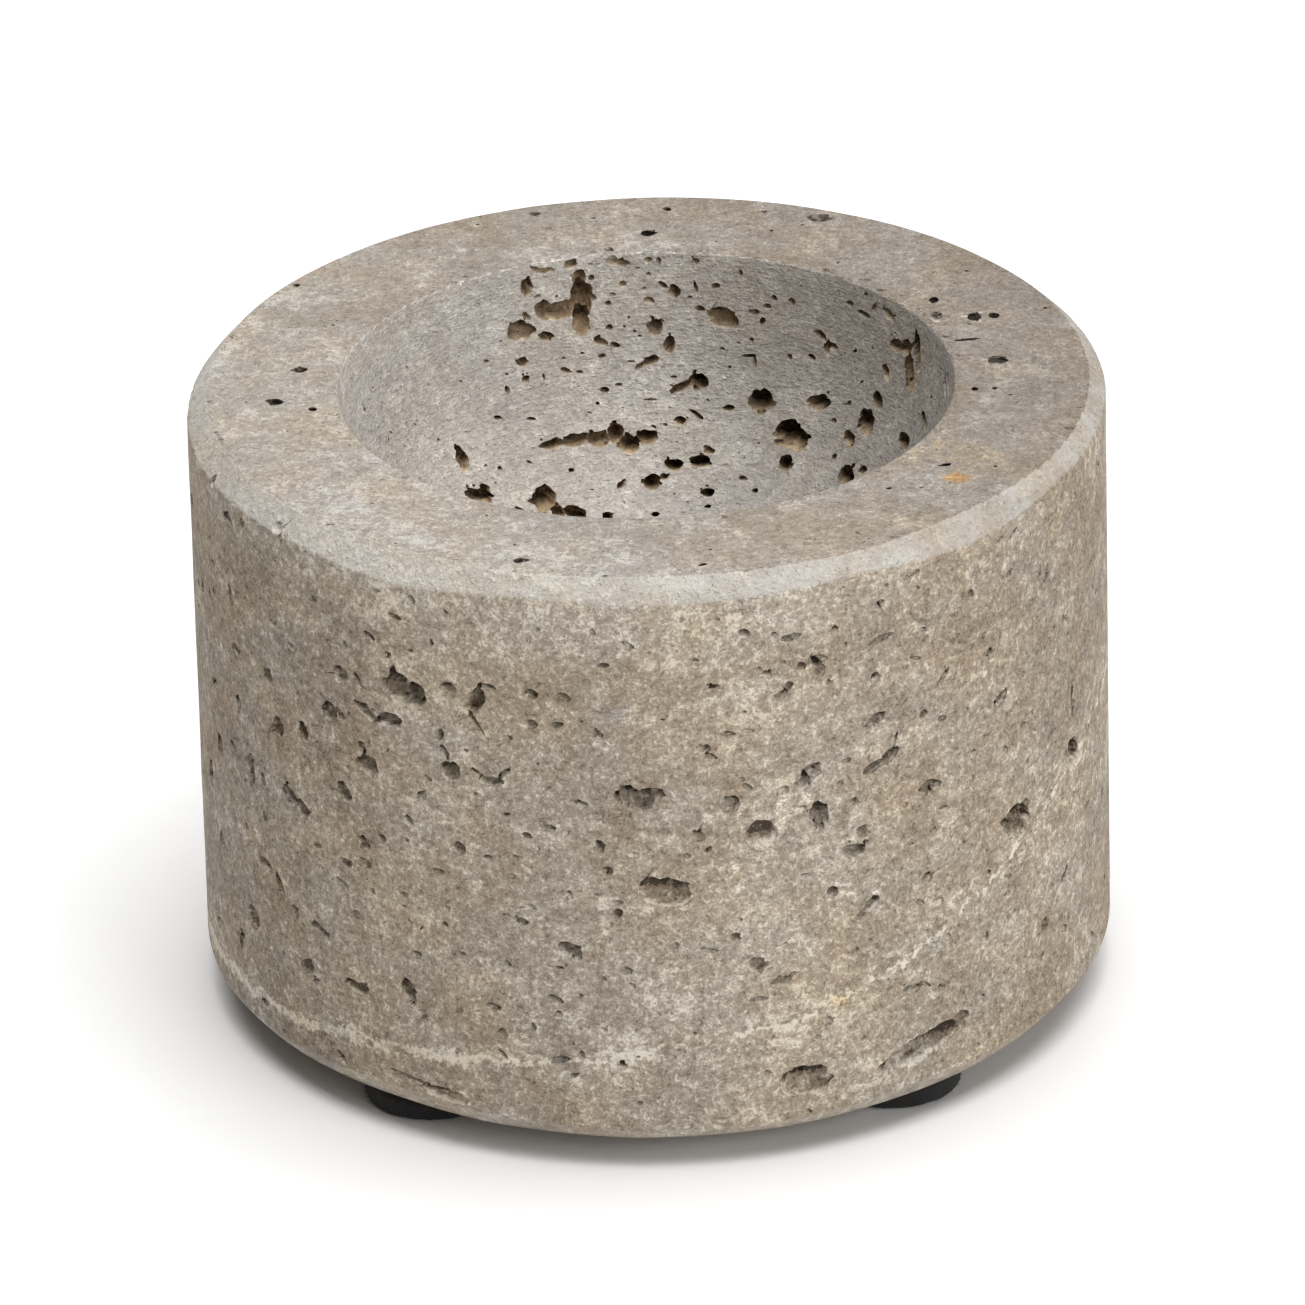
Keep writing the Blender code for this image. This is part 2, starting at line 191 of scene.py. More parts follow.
BOWL_VOIDS = (
    (103, 32.6, ((0.3, 0.4, 1.4, 2.2, -10, 2.2), (-2, -0.4, 2, 1.1, 15, 1.8),
        (-3.8, -0.9, 1.2, 1.2, 0, 1.9), (0.4, -2.1, 1.1, 1.5, 0, 2.1), (0.2, 2.6, 0.8, 1.2, 0, 1.5),
        (-0.7, 3.4, 0.8, 0.6, 0, 1.2))),
    (115, 32.2, 1.8, 1.15, 5, 1.9), (110, 31.8, 1, 0.55, -5, 1.6), (113, 33.2, 0.75, 1.1, 0, 2),
    (110, 33.4, ((-0.4, 0.2, 0.9, 0.35, -35, 1.2), (0.6, -0.1, 1.2, 0.4, 0, 0.9))),
    (95, 33.4, ((-0.6, 0.3, 0.7, 0.6, 0, 1.6), (0.7, -0.2, 0.8, 0.5, -10, 1.2))),
    (80, 33.4, 0.5, 0.5, 0, 0.9),
    (85, 32.9, ((-0.7, 0.4, 0.7, 0.4, -30, 1.6), (0.6, -0.3, 0.7, 0.9, 15, 1.8))),
    (80, 32.9, ((0, 0.3, 0.25, 0.8, 15, 0.9),)), (76, 33, 0.6, 0.4, 20, 1.3),
    (74, 32.2, ((0, 0, 1.9, 1.2, -5, 1.3), (3.4, 0, 0.8, 0.4, 0, 0.9), (4.9, 0, 0.6, 0.4, 0, 0.9),
        (4.3, -1.4, 0.5, 0.4, 50, 1))),
    (88, 31.8, 1, 0.95, -20, 2), (85, 31.1, 0.7, 1.1, -10, 1.6),
    (89, 30.3, ((0, 0.1, 1, 0.55, 20, 1.6), (-1.2, -0.6, 0.6, 0.35, 40, 0.8))),
    (79, 29.3, ((0.3, 0.2, 1.2, 1, 0, 2.8), (-1.9, -0.5, 1.4, 0.5, 25, 1.6))),
    (64, 28.7, 1.6, 1.4, 0, 2.6), (50, 29.5, ((0.3, 0, 1.6, 1, -5, 2.6),)),
    (54, 27.1, ((-0.3, 0.4, 1.8, 1.6, 0, 3), (1, -0.6, 1.2, 1.3, 0, 2.8))),
    (51, 32.1, ((-0.8, 0.5, 1.1, 0.5, -40, 2), (0.6, -0.4, 1, 0.4, -20, 1.6),
        (-0.2, -1, 0.4, 0.8, 20, 1))),
    (30, 32.8, ((-1.6, 0.6, 1.1, 0.9, 0, 2.4), (0.6, 0.3, 1.2, 1, 0, 2.2), (1, -2.6, 1, 2.7, 5, 2),
        (2.6, -0.5, 0.75, 2.5, 5, 1.7))),
    (35, 29.5, 1.3, 1.6, 25, 2.4), (34, 30.7, 0.7, 1.3, 20, 2), (33, 26, 1.2, 1.5, 0, 2.6),
    (53, 25.1, 0.9, 1, 30, 1.8), (76, 24, 1.35, 0.75, -5, 2.2), (83, 23.7, 1.05, 0.75, -10, 2),
    (89, 22.1, ((0, 0, 1, 1, 0, 2), (1.4, 0.5, 0.5, 0.5, 0, 1))), (72, 21.5, 0.9, 0.6, -10, 1.8),
    (82, 27, 0.8, 0.6, -20, 1.6), (78, 27.4, 1, 0.35, -40, 1.2), (71, 28, 0.7, 0.4, 0, 1.2),
    (102, 25.7, ((-5.2, -1, 1.6, 0.6, 15, 1.2), (-2.6, 0.1, 1.9, 0.8, 12, 1.5),
        (0, 0.4, 1.3, 1, 20, 1.9), (1.9, 0.9, 1, 1.2, -10, 2.1), (3.4, -0.5, 1.2, 1.1, -10, 2),
        (5.4, 0.1, 1.4, 0.9, 10, 1.8))),
    (139, 27.1, 0.9, 1.6, 20, 1.7),
    (140, 24.4, ((0, 0, 1.9, 0.9, 10, 1.8), (0.8, 0.8, 0.7, 0.8, 0, 1.5))),
    (122, 21.8, ((0, 0.2, 1.5, 1.9, 0, 2.2), (1.6, -1.2, 0.8, 0.9, 0, 1.6))),
    (114, 20, 1.4, 1, -15, 1.7), (116, 31, 0.7, 0.6, 0, 1.4), (116, 30.2, 0.5, 0.6, 0, 1.3),
    (121, 29.9, 0.35, 0.6, 20, 1.2), (99, 29, 0.55, 0.4, 0, 1.4), (104, 30.1, 0.5, 0.3, 0, 1.2),
    (97, 31.8, 0.45, 0.5, -20, 1.3), (96, 31.1, 0.6, 0.35, -20, 1.1), (99, 31.3, 0.9, 0.5, -20, 1),
    (68, 30.7, ((0, 0.4, 0.9, 0.25, 0, 1), (0.7, -0.3, 0.25, 0.8, 0, 1.2))),
    (79, 32.4, 0.6, 0.4, -10, 1.3), (47, 33.2, 0.6, 0.4, 0, 1.5), (43, 33.1, 1.1, 0.4, -15, 1.2),
    (36, 33.3, 1.2, 0.7, -30, 1.2), (20, 29.9, 0.8, 1.5, 35, 1.7), (15, 31.4, 0.5, 1.6, 15, 1.4),
    (9, 33, ((0, 0, 0.5, 2, 5, 1.2), (1.3, -0.8, 0.45, 1.8, 5, 1.1))), (109, 33.5, 0.3, 0.3, 0, 0.8),
    (100, 33.4, 0.35, 0.2, 0, 0.7), (100, 33.2, 0.45, 0.45, 0, 1.2), (105, 33.4, 0.25, 0.2, 0, 0.7),
    (94, 33.4, 0.65, 0.35, -20, 0.6), (91, 33.3, 0.35, 0.2, 0, 0.8), (89, 33.4, 0.5, 0.4, 20, 0.6),
    (89, 33.2, 0.35, 0.3, 0, 1.2), (87, 33.4, 0.3, 0.45, 0, 1), (84, 33.5, 0.3, 0.3, 0, 0.8),
    (90, 32.9, 0.4, 0.2, 20, 1), (81, 32.7, 0.35, 0.2, 0, 0.8), (71, 33.3, 0.35, 0.45, -20, 1),
    (64, 32.9, 0.45, 0.4, -30, 0.9), (60, 32.9, 0.5, 0.5, -40, 0.9), (96, 32.8, 0.45, 0.3, 0, 0.8),
    (97, 32.6, 0.4, 0.4, 0, 1.2), (89, 32.6, 0.7, 0.45, -10, 0.7), (107, 32.9, 0.25, 0.2, 0, 0.7),
    (103, 30.9, 0.3, 0.2, 0, 0.9), (99, 30.7, 0.5, 0.28, 5, 1.2), (107, 30.2, 0.7, 0.4, -15, 0.8),
    (96, 29.2, 0.5, 0.22, 0, 0.9), (93, 30.3, 0.55, 0.2, 0, 0.5), (84, 29.5, 0.45, 0.2, 0, 0.7),
    (74, 31, 0.4, 0.22, -10, 0.8), (72, 30.2, 0.25, 0.2, 0, 0.9), (68, 31.5, 0.3, 0.28, -20, 0.8),
    (89, 28.2, 0.9, 0.2, 0, 0.6), (101, 28.2, 0.25, 0.25, 0, 0.9), (76, 28.3, 0.3, 0.22, -30, 0.7),
    (125, 28.6, 0.6, 0.3, 0, 1.2), (117, 28, 0.6, 0.25, 0, 1), (112, 30.1, 0.2, 0.5, 10, 0.6),
    (120, 30.6, 0.25, 0.2, 0, 0.7), (124, 31.4, 0.4, 0.3, 0, 0.9), (114, 32.6, 0.35, 0.25, 15, 0.8),
    (93, 32.1, 0.2, 0.2, 0, 0.7), (92, 31.6, 0.25, 0.2, 0, 0.8), (91, 31.4, 0.25, 0.2, 0, 0.7),
    (94, 31.8, 0.2, 0.2, 0, 0.7), (107, 30.8, 0.25, 0.2, 0, 0.7), (59, 31.1, 0.45, 0.4, -40, 0.9),
    (54, 31.3, 0.6, 0.4, -35, 1), (44, 32.1, 0.4, 0.25, 30, 1.2), (34, 31.9, 0.6, 1.1, 20, 1.2),
    (44, 28.7, 0.45, 0.45, -20, 0.8), (38, 28.2, 0.7, 1.2, 25, 1.6), (29, 27, 0.7, 0.55, -20, 1.5),
    (131, 21.8, 0.7, 0.45, -10, 1.4), (104, 19, 0.6, 0.8, 10, 1.6), (88, 18.9, 0.6, 0.35, 0, 1.2),
    (71, 20, 0.45, 0.3, 0, 1.1), (58, 22.2, 0.45, 0.35, 0, 1), (74, 24.9, 0.7, 0.5, -20, 0.8),
    (111, 23.8, 0.4, 0.3, 0, 1), (130, 25.4, 0.35, 0.3, 0, 0.8),
)


RIM_VOIDS = (
    (89, 38.5, 0.9, 0.8, 0, 0.8), (64, 45.6, 1.9, 1.2, 0, 0.6), (105, 45.8, 0.7, 0.5, 0, 0.5),
    (172, 38, 0.9, 0.7, 0, 0.9), (5, 38.5, 1.2, 1, 0, 0.6), (31, 37.2, 0.6, 0.8, 0, 0.9),
    (25, 34.9, ((0.4, 0, 0.7, 1.4, 0, 0.5),)),
    (22, 39, ((0, 0, 0.8, 1.1, 0, 0.8), (2.2, 0.2, 0.6, 0.7, 0, 0.7))), (14, 36.2, 1.5, 0.3, 8, 0.6),
    (-6, 35.8, ((0, 0, 0.4, 0.5, 0, 0.8), (2.2, 0, 0.3, 0.4, 0, 0.6))),
)

# The scattered pores: zone, how many, and their least and largest half width in mm
SCATTER = (
    ("wall", 28, 1.1, 2.4), ("wall", 210, 0.5, 1.1), ("wall", 400, 0.2, 0.45),
    ("bowl", 8, 1.0, 1.8), ("bowl", 90, 0.35, 0.75), ("bowl", 330, 0.18, 0.38),
    ("rim", 3, 0.7, 1.1), ("rim", 14, 0.3, 0.6), ("rim", 40, 0.15, 0.3),
    ("base", 7, 1.0, 2.2), ("base", 28, 0.5, 1.0), ("base", 20, 0.25, 0.5),
)

# The middle and half of the angles, in degrees, between which every large pore is a named one
NAMED_MIDDLES = {"wall": -90, "bowl": 85, "rim": 0, "base": 0}
NAMED_HALVES = {"wall": 76, "bowl": 75, "rim": 0, "base": 0}

# What the cutters leave on the faces that they make: name, domain and the mesh's list of that domain
CARRIED = (("rise", "POINT", "vertices"), ("crust", "POINT", "vertices"), ("pore", "FACE", "polygons"))

# The grid of a lobe by its half width in mm: from, to, points round, bands
BALL_GRIDS = (
    (0, 0.34, 6, 4), (0.34, 0.6, 8, 4), (0.6, 1.0, 11, 5),
    (1.0, 1.6, 16, 8), (1.6, 2.4, 24, 11), (2.4, 99, 38, 15),
)

# Marks in the stone: angle in degrees, height (on the rim: distance out) and radius in mm, then a tone
STAINS = (
    ("wall", -54, 21.5, 2.6, "grey"), ("wall", -80, 35.5, 2.2, "cream"),
    ("wall", -67, 17.5, 1.5, "ochre"),
    ("rim", -38, 42.0, 1.7, "rust"), ("rim", -31, 39.5, 4.6, "ochre"), ("rim", -52, 46.0, 2.4, "cream"),
    ("wall", -111, 49.0, 2.0, "cream"), ("wall", -73, 41.0, 2.4, "cream"),
    ("wall", -95, 55.0, 1.8, "grey"),
)

# How wide the two chamfers are, each ground by hand: angle in degrees, width in mm
BASE_WIDTHS = ((-150, 2.3), (-126, 2.7), (-107, 1.8), (-92, 1.3), (-76, 1.3), (-52, 2.1), (-30, 2.4))
CHAMFER_WIDTHS = ((-150, 2.6), (-122, 3.1), (-105, 2.1), (-92, 2.5), (-64, 1.8), (-48, 2.7), (-22, 1.7))


# ---------------------------------------------------------------------------------------------------
# Noise
# ---------------------------------------------------------------------------------------------------


def hashed(cells, seed):
    """A number from 0 to 1 for each cell: its three whole numbers times large odd ones, bits mixed."""
    mixed = cells[..., 0] * 73856093 ^ cells[..., 1] * 19349663 ^ cells[..., 2] * 83492791
    mixed = (mixed ^ (seed * 40503 + 977)) & 0xFFFFFFFF
    mixed = ((mixed ^ (mixed >> 15)) * 739982445) & 0xFFFFFFFF
    mixed = ((mixed ^ (mixed >> 12)) * 695872825) & 0xFFFFFFFF
    return ((mixed ^ (mixed >> 15)) & 0xFFFFFF) / 0xFFFFFF


def smooth_noise(points, seed):
    """Value noise from -1 to 1: the eight corners of each unit cell, blended by 3t^2 - 2t^3 each way."""
    cell = np.floor(points).astype(np.int64)
    part = points - cell
    part = part * part * (3 - 2 * part)
    total = 0.0
    for corner in np.ndindex(2, 2, 2):
        share = np.prod(np.where(corner, part, 1 - part), axis=-1)
        total = total + share * hashed(cell + np.array(corner), seed)
    return 2 * total - 1


def rough_noise(points, octaves, seed):
    """A sum of smooth noises, each with twice the pitch and just over half the height of the last."""
    total, height, whole = 0.0, 1.0, 0.0
    for octave in range(octaves):
        total = total + height * smooth_noise(points * 2.0**octave + 31.7 * octave, seed + octave)
        whole += height
        height *= 0.55
    return total / whole


def round_noise(angle, waves, seed):
    """Noise from -1 to 1 along a closed circle, by walking a ring of about that many cells round."""
    reach = waves / (2 * math.pi)
    ring = np.stack([reach * np.cos(angle) + 5.3, reach * np.sin(angle) + 9.1, 0 * angle + 0.5], axis=-1)
    return rough_noise(ring, 2, seed)


# ---------------------------------------------------------------------------------------------------
# Meshes
# ---------------------------------------------------------------------------------------------------


def mesh_of(name, points, triangles):
    """A mesh of these points and triangles, both given as whole arrays."""
    mesh = bpy.data.meshes.new(name)
    mesh.vertices.add(len(points))
    mesh.vertices.foreach_set("co", np.asarray(points, np.float32).ravel())
    mesh.loops.add(triangles.size)
    mesh.loops.foreach_set("vertex_index", np.asarray(triangles, np.int32).ravel())
    mesh.polygons.add(len(triangles))
    mesh.polygons.foreach_set("loop_start", np.arange(0, triangles.size, 3, dtype=np.int32))
    mesh.update(calc_edges=True)
    return mesh


def object_of(name, mesh):
    made = bpy.data.objects.new(name, mesh)
    bpy.context.scene.collection.objects.link(made)
    return made


def ball_triangles(turns, bands):
    """Triangles of a ball's grid: a first pole, bands - 1 rings of turns points, a last pole."""
    here = np.arange(turns)
    after = (here + 1) % turns
    rings = 1 + turns * np.arange(bands - 1)
    last = 1 + turns * (bands - 1)
    caps = [np.stack([0 * here, rings[0] + here, rings[0] + after], axis=1)]
    caps.append(np.stack([rings[-1] + after, rings[-1] + here, 0 * here + last], axis=1))
    above, below = rings[:-1, None], rings[1:, None]
    first = np.stack([above + here, below + here, below + after], axis=-1).reshape(-1, 3)
    second = np.stack([above + here, below + after, above + after], axis=-1).reshape(-1, 3)
    return np.concatenate([caps[0], first, second, caps[1]])


def ball_directions(turns, bands):
    """Unit vectors over a ball, from +Z to -Z: z = cos(band angle), x and y turning round it."""
    fall = np.pi * np.arange(1, bands) / bands
    turn = 2 * np.pi * np.arange(turns) / turns
    ring = np.stack([
        np.sin(fall)[:, None] * np.cos(turn),
        np.sin(fall)[:, None] * np.sin(turn),
        np.cos(fall)[:, None] + 0 * turn,
    ], axis=-1).reshape(-1, 3)
    return np.concatenate([[[0, 0, 1.0]], ring, [[0, 0, -1.0]]])


def mesh_arrays(mesh):
    """The points and triangles of a mesh, and each triangle's face, as whole arrays."""
    mesh.calc_loop_triangles()
    points = np.empty(len(mesh.vertices) * 3)
    mesh.vertices.foreach_get("co", points)
    triangles = np.empty(len(mesh.loop_triangles) * 3, np.int32)
    mesh.loop_triangles.foreach_get("vertices", triangles)
    owners = np.empty(len(mesh.loop_triangles), np.int32)
    mesh.loop_triangles.foreach_get("polygon_index", owners)
    return points.reshape(-1, 3), triangles.reshape(-1, 3), owners


# ---------------------------------------------------------------------------------------------------
# The stone
# ---------------------------------------------------------------------------------------------------


def stone_sizes():
    """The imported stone's own sizes, read from its points: radius, heights, chamfers and the bowl's ball.

    A point of the bowl at distance r from the axis and h above its floor lies on a ball of radius
    (r^2 + h^2) / 2h that stands on the floor.
    """
    points = np.empty(len(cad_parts[STONE_NODE].data.vertices) * 3)
    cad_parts[STONE_NODE].data.vertices.foreach_get("co", points)
    points = points.reshape(-1, 3)
    out, height = np.hypot(points[:, 0], points[:, 1]), points[:, 2]
    near = 0.01 * MM
    radius, bottom, top = out.max(), height.min(), height.max()
    floor = height[(out < near) & (height > bottom + near)].min()
    mouth = out[height > top - near].min()
    inside = (out < mouth - 2 * MM) & (height > floor + 5 * MM)
    rise = height[inside] - floor
    ball = float(np.median((out[inside] ** 2 + rise**2) / (2 * rise)))
    return {
        "radius": radius,
        "bottom": bottom,
        "top": top,
        "inset": radius - out[height > top - near].max(),
        "drop": top - height[out > radius - near].max(),
        "mouth": mouth,
        "ball": ball,
        "ball_height": floor + ball,
    }


def hand_ground(angle, rows):
    """Width at each angle, joined between the named angles by 3t^2 - 2t^3, in metres."""
    named = np.radians([row[0] for row in rows])
    width = np.array([row[1] for row in rows]) * MM
    named = np.append(named, named[0] + 2 * np.pi)
    width = np.append(width, width[0])
    turn = (angle - named[0]) % (2 * np.pi) + named[0]
    step = np.clip(np.searchsorted(named, turn, side="right") - 1, 0, len(named) - 2)
    part = (turn - named[step]) / (named[step + 1] - named[step])
    part = part * part * (3 - 2 * part)
    return width[step] + (width[step + 1] - width[step]) * part


def chamfer_shape(sizes, angle, uneven):
    """Inset and drop of the top chamfer at each angle: hand-ground widths that wander by smooth noise."""
    drop = hand_ground(angle, CHAMFER_WIDTHS)
    drop = drop + uneven * 0.25 * sizes["drop"] * round_noise(angle, 18, 3)
    inset = sizes["inset"] * (0.35 + 0.65 * drop / sizes["drop"])
    return inset, drop


def base_shape(angle):
    """Inset and rise of the chamfer under the wall at each angle."""
    width = hand_ground(angle, BASE_WIDTHS) * (1 + 0.07 * round_noise(angle, 14, 8))
    return 0.88 * width, width + 0.15 * MM


def stone_rings(sizes, settings):
    """The stone's surface as a grid: out and height for each angle and each step along the outline.

    The outline runs from the base's centre out, up the wall, over the chamfer and the rim, and down the
    bowl to its floor. Each corner is a small curve (1-t)^2 A + 2t(1-t) B + t^2 C about the corner B.
    """
    turns = settings.turns
    angle = 2 * np.pi * np.arange(turns) / turns
    inset, drop = chamfer_shape(sizes, angle, settings.chamfer_unevenness)
    radius, top, bottom = sizes["radius"], sizes["top"], sizes["bottom"]
    base, rise = base_shape(angle)
    same = 0 * angle
    lip = settings.lip_rounding
    lip_height = top - lip
    lip_out = math.sqrt((sizes["ball"] + lip) ** 2 - (lip_height - sizes["ball_height"]) ** 2)
    touch = math.atan2(lip_height - sizes["ball_height"], lip_out)
    corners = [
        (same, same + bottom),
        (radius - base, same + bottom),
        (same + radius, bottom + rise),
        (same + radius, top - drop),
        (radius - inset, same + top),
        (same + lip_out, same + top),
    ]
    worn = settings.edge_rounding * (1 + 0.6 * round_noise(angle, 30, 21))
    spacing = settings.spacing
    outs, heights = [corners[0][0]], [corners[0][1]]
    for index in range(1, len(corners)):
        start, end = np.array(corners[index - 1]), np.array(corners[index])
        along = end - start
        span = np.hypot(*along)
        unit = along / span
        ends_round = index < len(corners) - 1
        first = start + unit * (worn if index > 1 else 0)
        last = end - unit * (worn if ends_round else 0)
        apart = 2 * spacing if index == 1 else spacing
        steps = max(1, int(round(float(span.mean()) / apart)))
        share = (np.arange(1, steps + 1) / steps)[:, None, None]
        line = first[None] + (last - first)[None] * share
        outs.extend(line[:, 0])
        heights.extend(line[:, 1])
        if ends_round:
            onward = np.array(corners[index + 1]) - end
            after = end + onward / np.hypot(*onward) * worn
            for t in (1 / 3, 2 / 3, 1.0):
                bend = (1 - t) ** 2 * last + 2 * t * (1 - t) * end + t * t * after
                outs.append(bend[0])
                heights.append(bend[1])
    for t in np.linspace(0, 1, 4)[1:]:
        turn = math.pi / 2 + (math.pi / 2 + touch) * t
        outs.append(same + lip_out + lip * math.cos(turn))
        heights.append(same + lip_height + lip * math.sin(turn))
    steps = int(round(sizes["ball"] * (math.pi / 2 + touch) / spacing))
    for turn in np.linspace(touch, -math.pi / 2, steps + 1)[1:]:
        outs.append(same + sizes["ball"] * max(0.0, math.cos(turn)))
        heights.append(same + sizes["ball_height"] + sizes["ball"] * math.sin(turn))
    return angle, np.array(outs), np.array(heights)


def stone_block(sizes, settings):
    """The stone before its pores: the outline turned about the axis, then worn a little inwards.

    Point = (out cos a, out sin a, height) - normal * wear * (1 + noise) / 2, with noise about 7 mm
    across. The normal is square to the outline.
    """
    angle, out, height = stone_rings(sizes, settings)
    points = np.stack([out * np.cos(angle), out * np.sin(angle), height], axis=-1)
    along_out, along_height = np.gradient(out, axis=0), np.gradient(height, axis=0)
    span = np.maximum(np.hypot(along_out, along_height), 1e-9)
    normal = np.stack([
        along_height / span * np.cos(angle),
        along_height / span * np.sin(angle),
        -along_out / span,
    ], axis=-1)
    wear = settings.surface_wear * 0.5 * (1 + rough_noise(points / (7 * MM), 3, 40))
    points = points - normal * wear[..., None]
    rings, turns = out.shape
    first, last = points[0].mean(axis=0), points[-1].mean(axis=0)
    whole = np.concatenate([[first], points[1:-1].reshape(-1, 3), [last]])
    return whole, ball_triangles(turns, rings - 1)


def surface_place(sizes, zone, angle, second):
    """Point and outward normal on the stone. second is a height on the wall, else a distance out."""
    cos, sin = np.cos(angle), np.sin(angle)
    flat = 0 * angle
    if zone == "wall":
        point = np.stack([sizes["radius"] * cos, sizes["radius"] * sin, second], axis=-1)
        return point, np.stack([cos, sin, flat], axis=-1)
    if zone == "bowl":
        second = np.minimum(second, 0.999 * sizes["ball"])
        side = 1 if sizes["ball_height"] > sizes["top"] - sizes["ball"] else -1
        fall = np.sqrt(sizes["ball"] ** 2 - second**2) * side
        point = np.stack([second * cos, second * sin, sizes["ball_height"] - fall], axis=-1)
        centre = np.array([0, 0, sizes["ball_height"]])
        return point, (centre - point) / sizes["ball"]
    level, way = (sizes["top"], 1.0) if zone == "rim" else (sizes["bottom"], -1.0)
    point = np.stack([second * cos, second * sin, flat + level], axis=-1)
    return point, np.stack([flat, flat, flat + way], axis=-1)


def surface_axes(zone, angle, normal):
    """Right and up along the surface: round the wall, else the part of +X that lies in the surface."""
    if zone == "wall":
        right = np.stack([-np.sin(angle), np.cos(angle), 0 * angle], axis=-1)
    else:
        right = np.array([1.0, 0, 0]) - normal * normal[..., :1]
        right = right / np.linalg.norm(right, axis=-1, keepdims=True)
    return right, np.cross(normal, right)


def lobes_at(sizes, zone, angle, second, half_width, half_height, turn, depth, sunk, lean):
    """Lumpy balls that cut the surface: centre, three half sizes, axes and lean, each a whole array.

    sunk is how far below the surface the middle lies, as a share of the half depth. A ball cut that far
    from its middle has an opening sqrt(1 - sunk^2) times as wide as the ball, so it is made wider.
    """
    point, normal = surface_place(sizes, zone, angle, second)
    right, up = surface_axes(zone, angle, normal)
    cos, sin = np.cos(turn)[:, None], np.sin(turn)[:, None]
    along, across = right * cos + up * sin, up * cos - right * sin
    half_depth = depth / (1 + sunk)
    wider = 1 / np.sqrt(1 - sunk**2)
    return {
        "centre": point - normal * (sunk * half_depth)[:, None],
        "half": np.stack([half_width * wider, half_height * wider, half_depth], axis=-1),
        "axes": np.stack([along, across, normal], axis=-2),
        "lean": lean,
        "up": up,
        "tall": np.hypot(half_width * sin[:, 0], half_height * cos[:, 0]),
        "size": np.maximum(half_width, half_height),
        "lumps": np.where(sunk < 0, SHALLOW_LUMPS, BOWL_LUMPS if zone == "bowl" else LUMPS),
    }


def joined(groups):
    return {key: np.concatenate([group[key] for group in groups]) for key in groups[0]}


def nibbles(flat, draws):
    """A small extra lobe on the edge of each larger deep one, so that its mouth isn't a plain oval.

    Its middle = the large one's + (width cos p, height sin p) turned, for a drawn p.
    """
    width, height, depth = flat[4], flat[5], flat[7]
    flat = flat[:, (np.minimum(width, height) > 0.45) & (depth > 0.9 * np.minimum(width, height))].copy()
    _, _, right, up, width, height, turn, depth = flat
    spin = draws.uniform(-math.pi, math.pi, len(width))
    along, across = 0.95 * width * np.cos(spin), 0.95 * height * np.sin(spin)
    turn = np.radians(turn)
    flat[2] = right + along * np.cos(turn) - across * np.sin(turn)
    flat[3] = up + along * np.sin(turn) + across * np.cos(turn)
    least = np.minimum(width, height)
    flat[4] = least * draws.uniform(0.22, 0.45, len(width))
    flat[5] = least * draws.uniform(0.22, 0.4, len(width))
    flat[6] = draws.uniform(-60, 60, len(width))
    flat[7] = depth * draws.uniform(0.35, 0.7, len(width))
    return flat


def named_lobes(sizes, zone, rows, seed):
    """The lobes of the named voids of one zone."""
    draws = np.random.default_rng(seed)
    voids = [(*row[:2], row[2] if len(row) == 3 else [(0, 0, *row[2:])]) for row in rows]
    flat = np.array([(angle, second, *lobe) for angle, second, lobes in voids for lobe in lobes], float).T
    flat = np.concatenate([flat, nibbles(flat, draws), nibbles(flat, draws)], axis=1)
    angle, second, right, up, width, height, turn, depth = flat
    angle = np.radians(angle)
    point, normal = surface_place(sizes, zone, angle, second * MM)
    along, across = surface_axes(zone, angle, normal)
    moved = point + (along * right[:, None] + across * up[:, None]) * MM
    angle = np.arctan2(moved[:, 1], moved[:, 0])
    second = moved[:, 2] if zone == "wall" else np.hypot(moved[:, 0], moved[:, 1])
    shallow = depth < SHALLOW_SHARE * np.minimum(width, height)
    sunk = np.where(shallow, SHALLOW_SUNK, draws.uniform(0.15, 0.45, len(depth)))
    sideways = draws.uniform(-0.25, 0.25, len(depth))
    lean = np.stack([sideways, draws.uniform(-0.8, -0.35, len(depth))], axis=-1)
    return lobes_at(
        sizes, zone, angle, second, width * MM, height * MM, np.radians(turn), depth * MM, sunk, lean
    )


def zone_places(sizes, zone, count, draws):
    """Evenly spread places over one zone: angle, and a height or a distance out by equal areas."""
    angle = draws.uniform(-math.pi, math.pi, count)
    share = draws.uniform(0, 1, count)
    if zone == "wall":
        low, high = sizes["bottom"] + 0.5 * MM, sizes["top"] - 2.4 * MM
        return angle, low + (high - low) * share
    if zone == "bowl":
        floor = sizes["ball_height"] - sizes["ball"]
        fall = sizes["ball_height"] - (floor + (sizes["top"] - 0.6 * MM - floor) * share)
        return angle, np.sqrt(np.maximum(0, sizes["ball"] ** 2 - fall**2))
    inner, outer = 0, 0.97 * sizes["radius"]
    if zone == "rim":
        inner, outer = sizes["mouth"] + 0.8 * MM, sizes["radius"] - 3 * MM
    return angle, np.sqrt(inner**2 + (outer**2 - inner**2) * share)


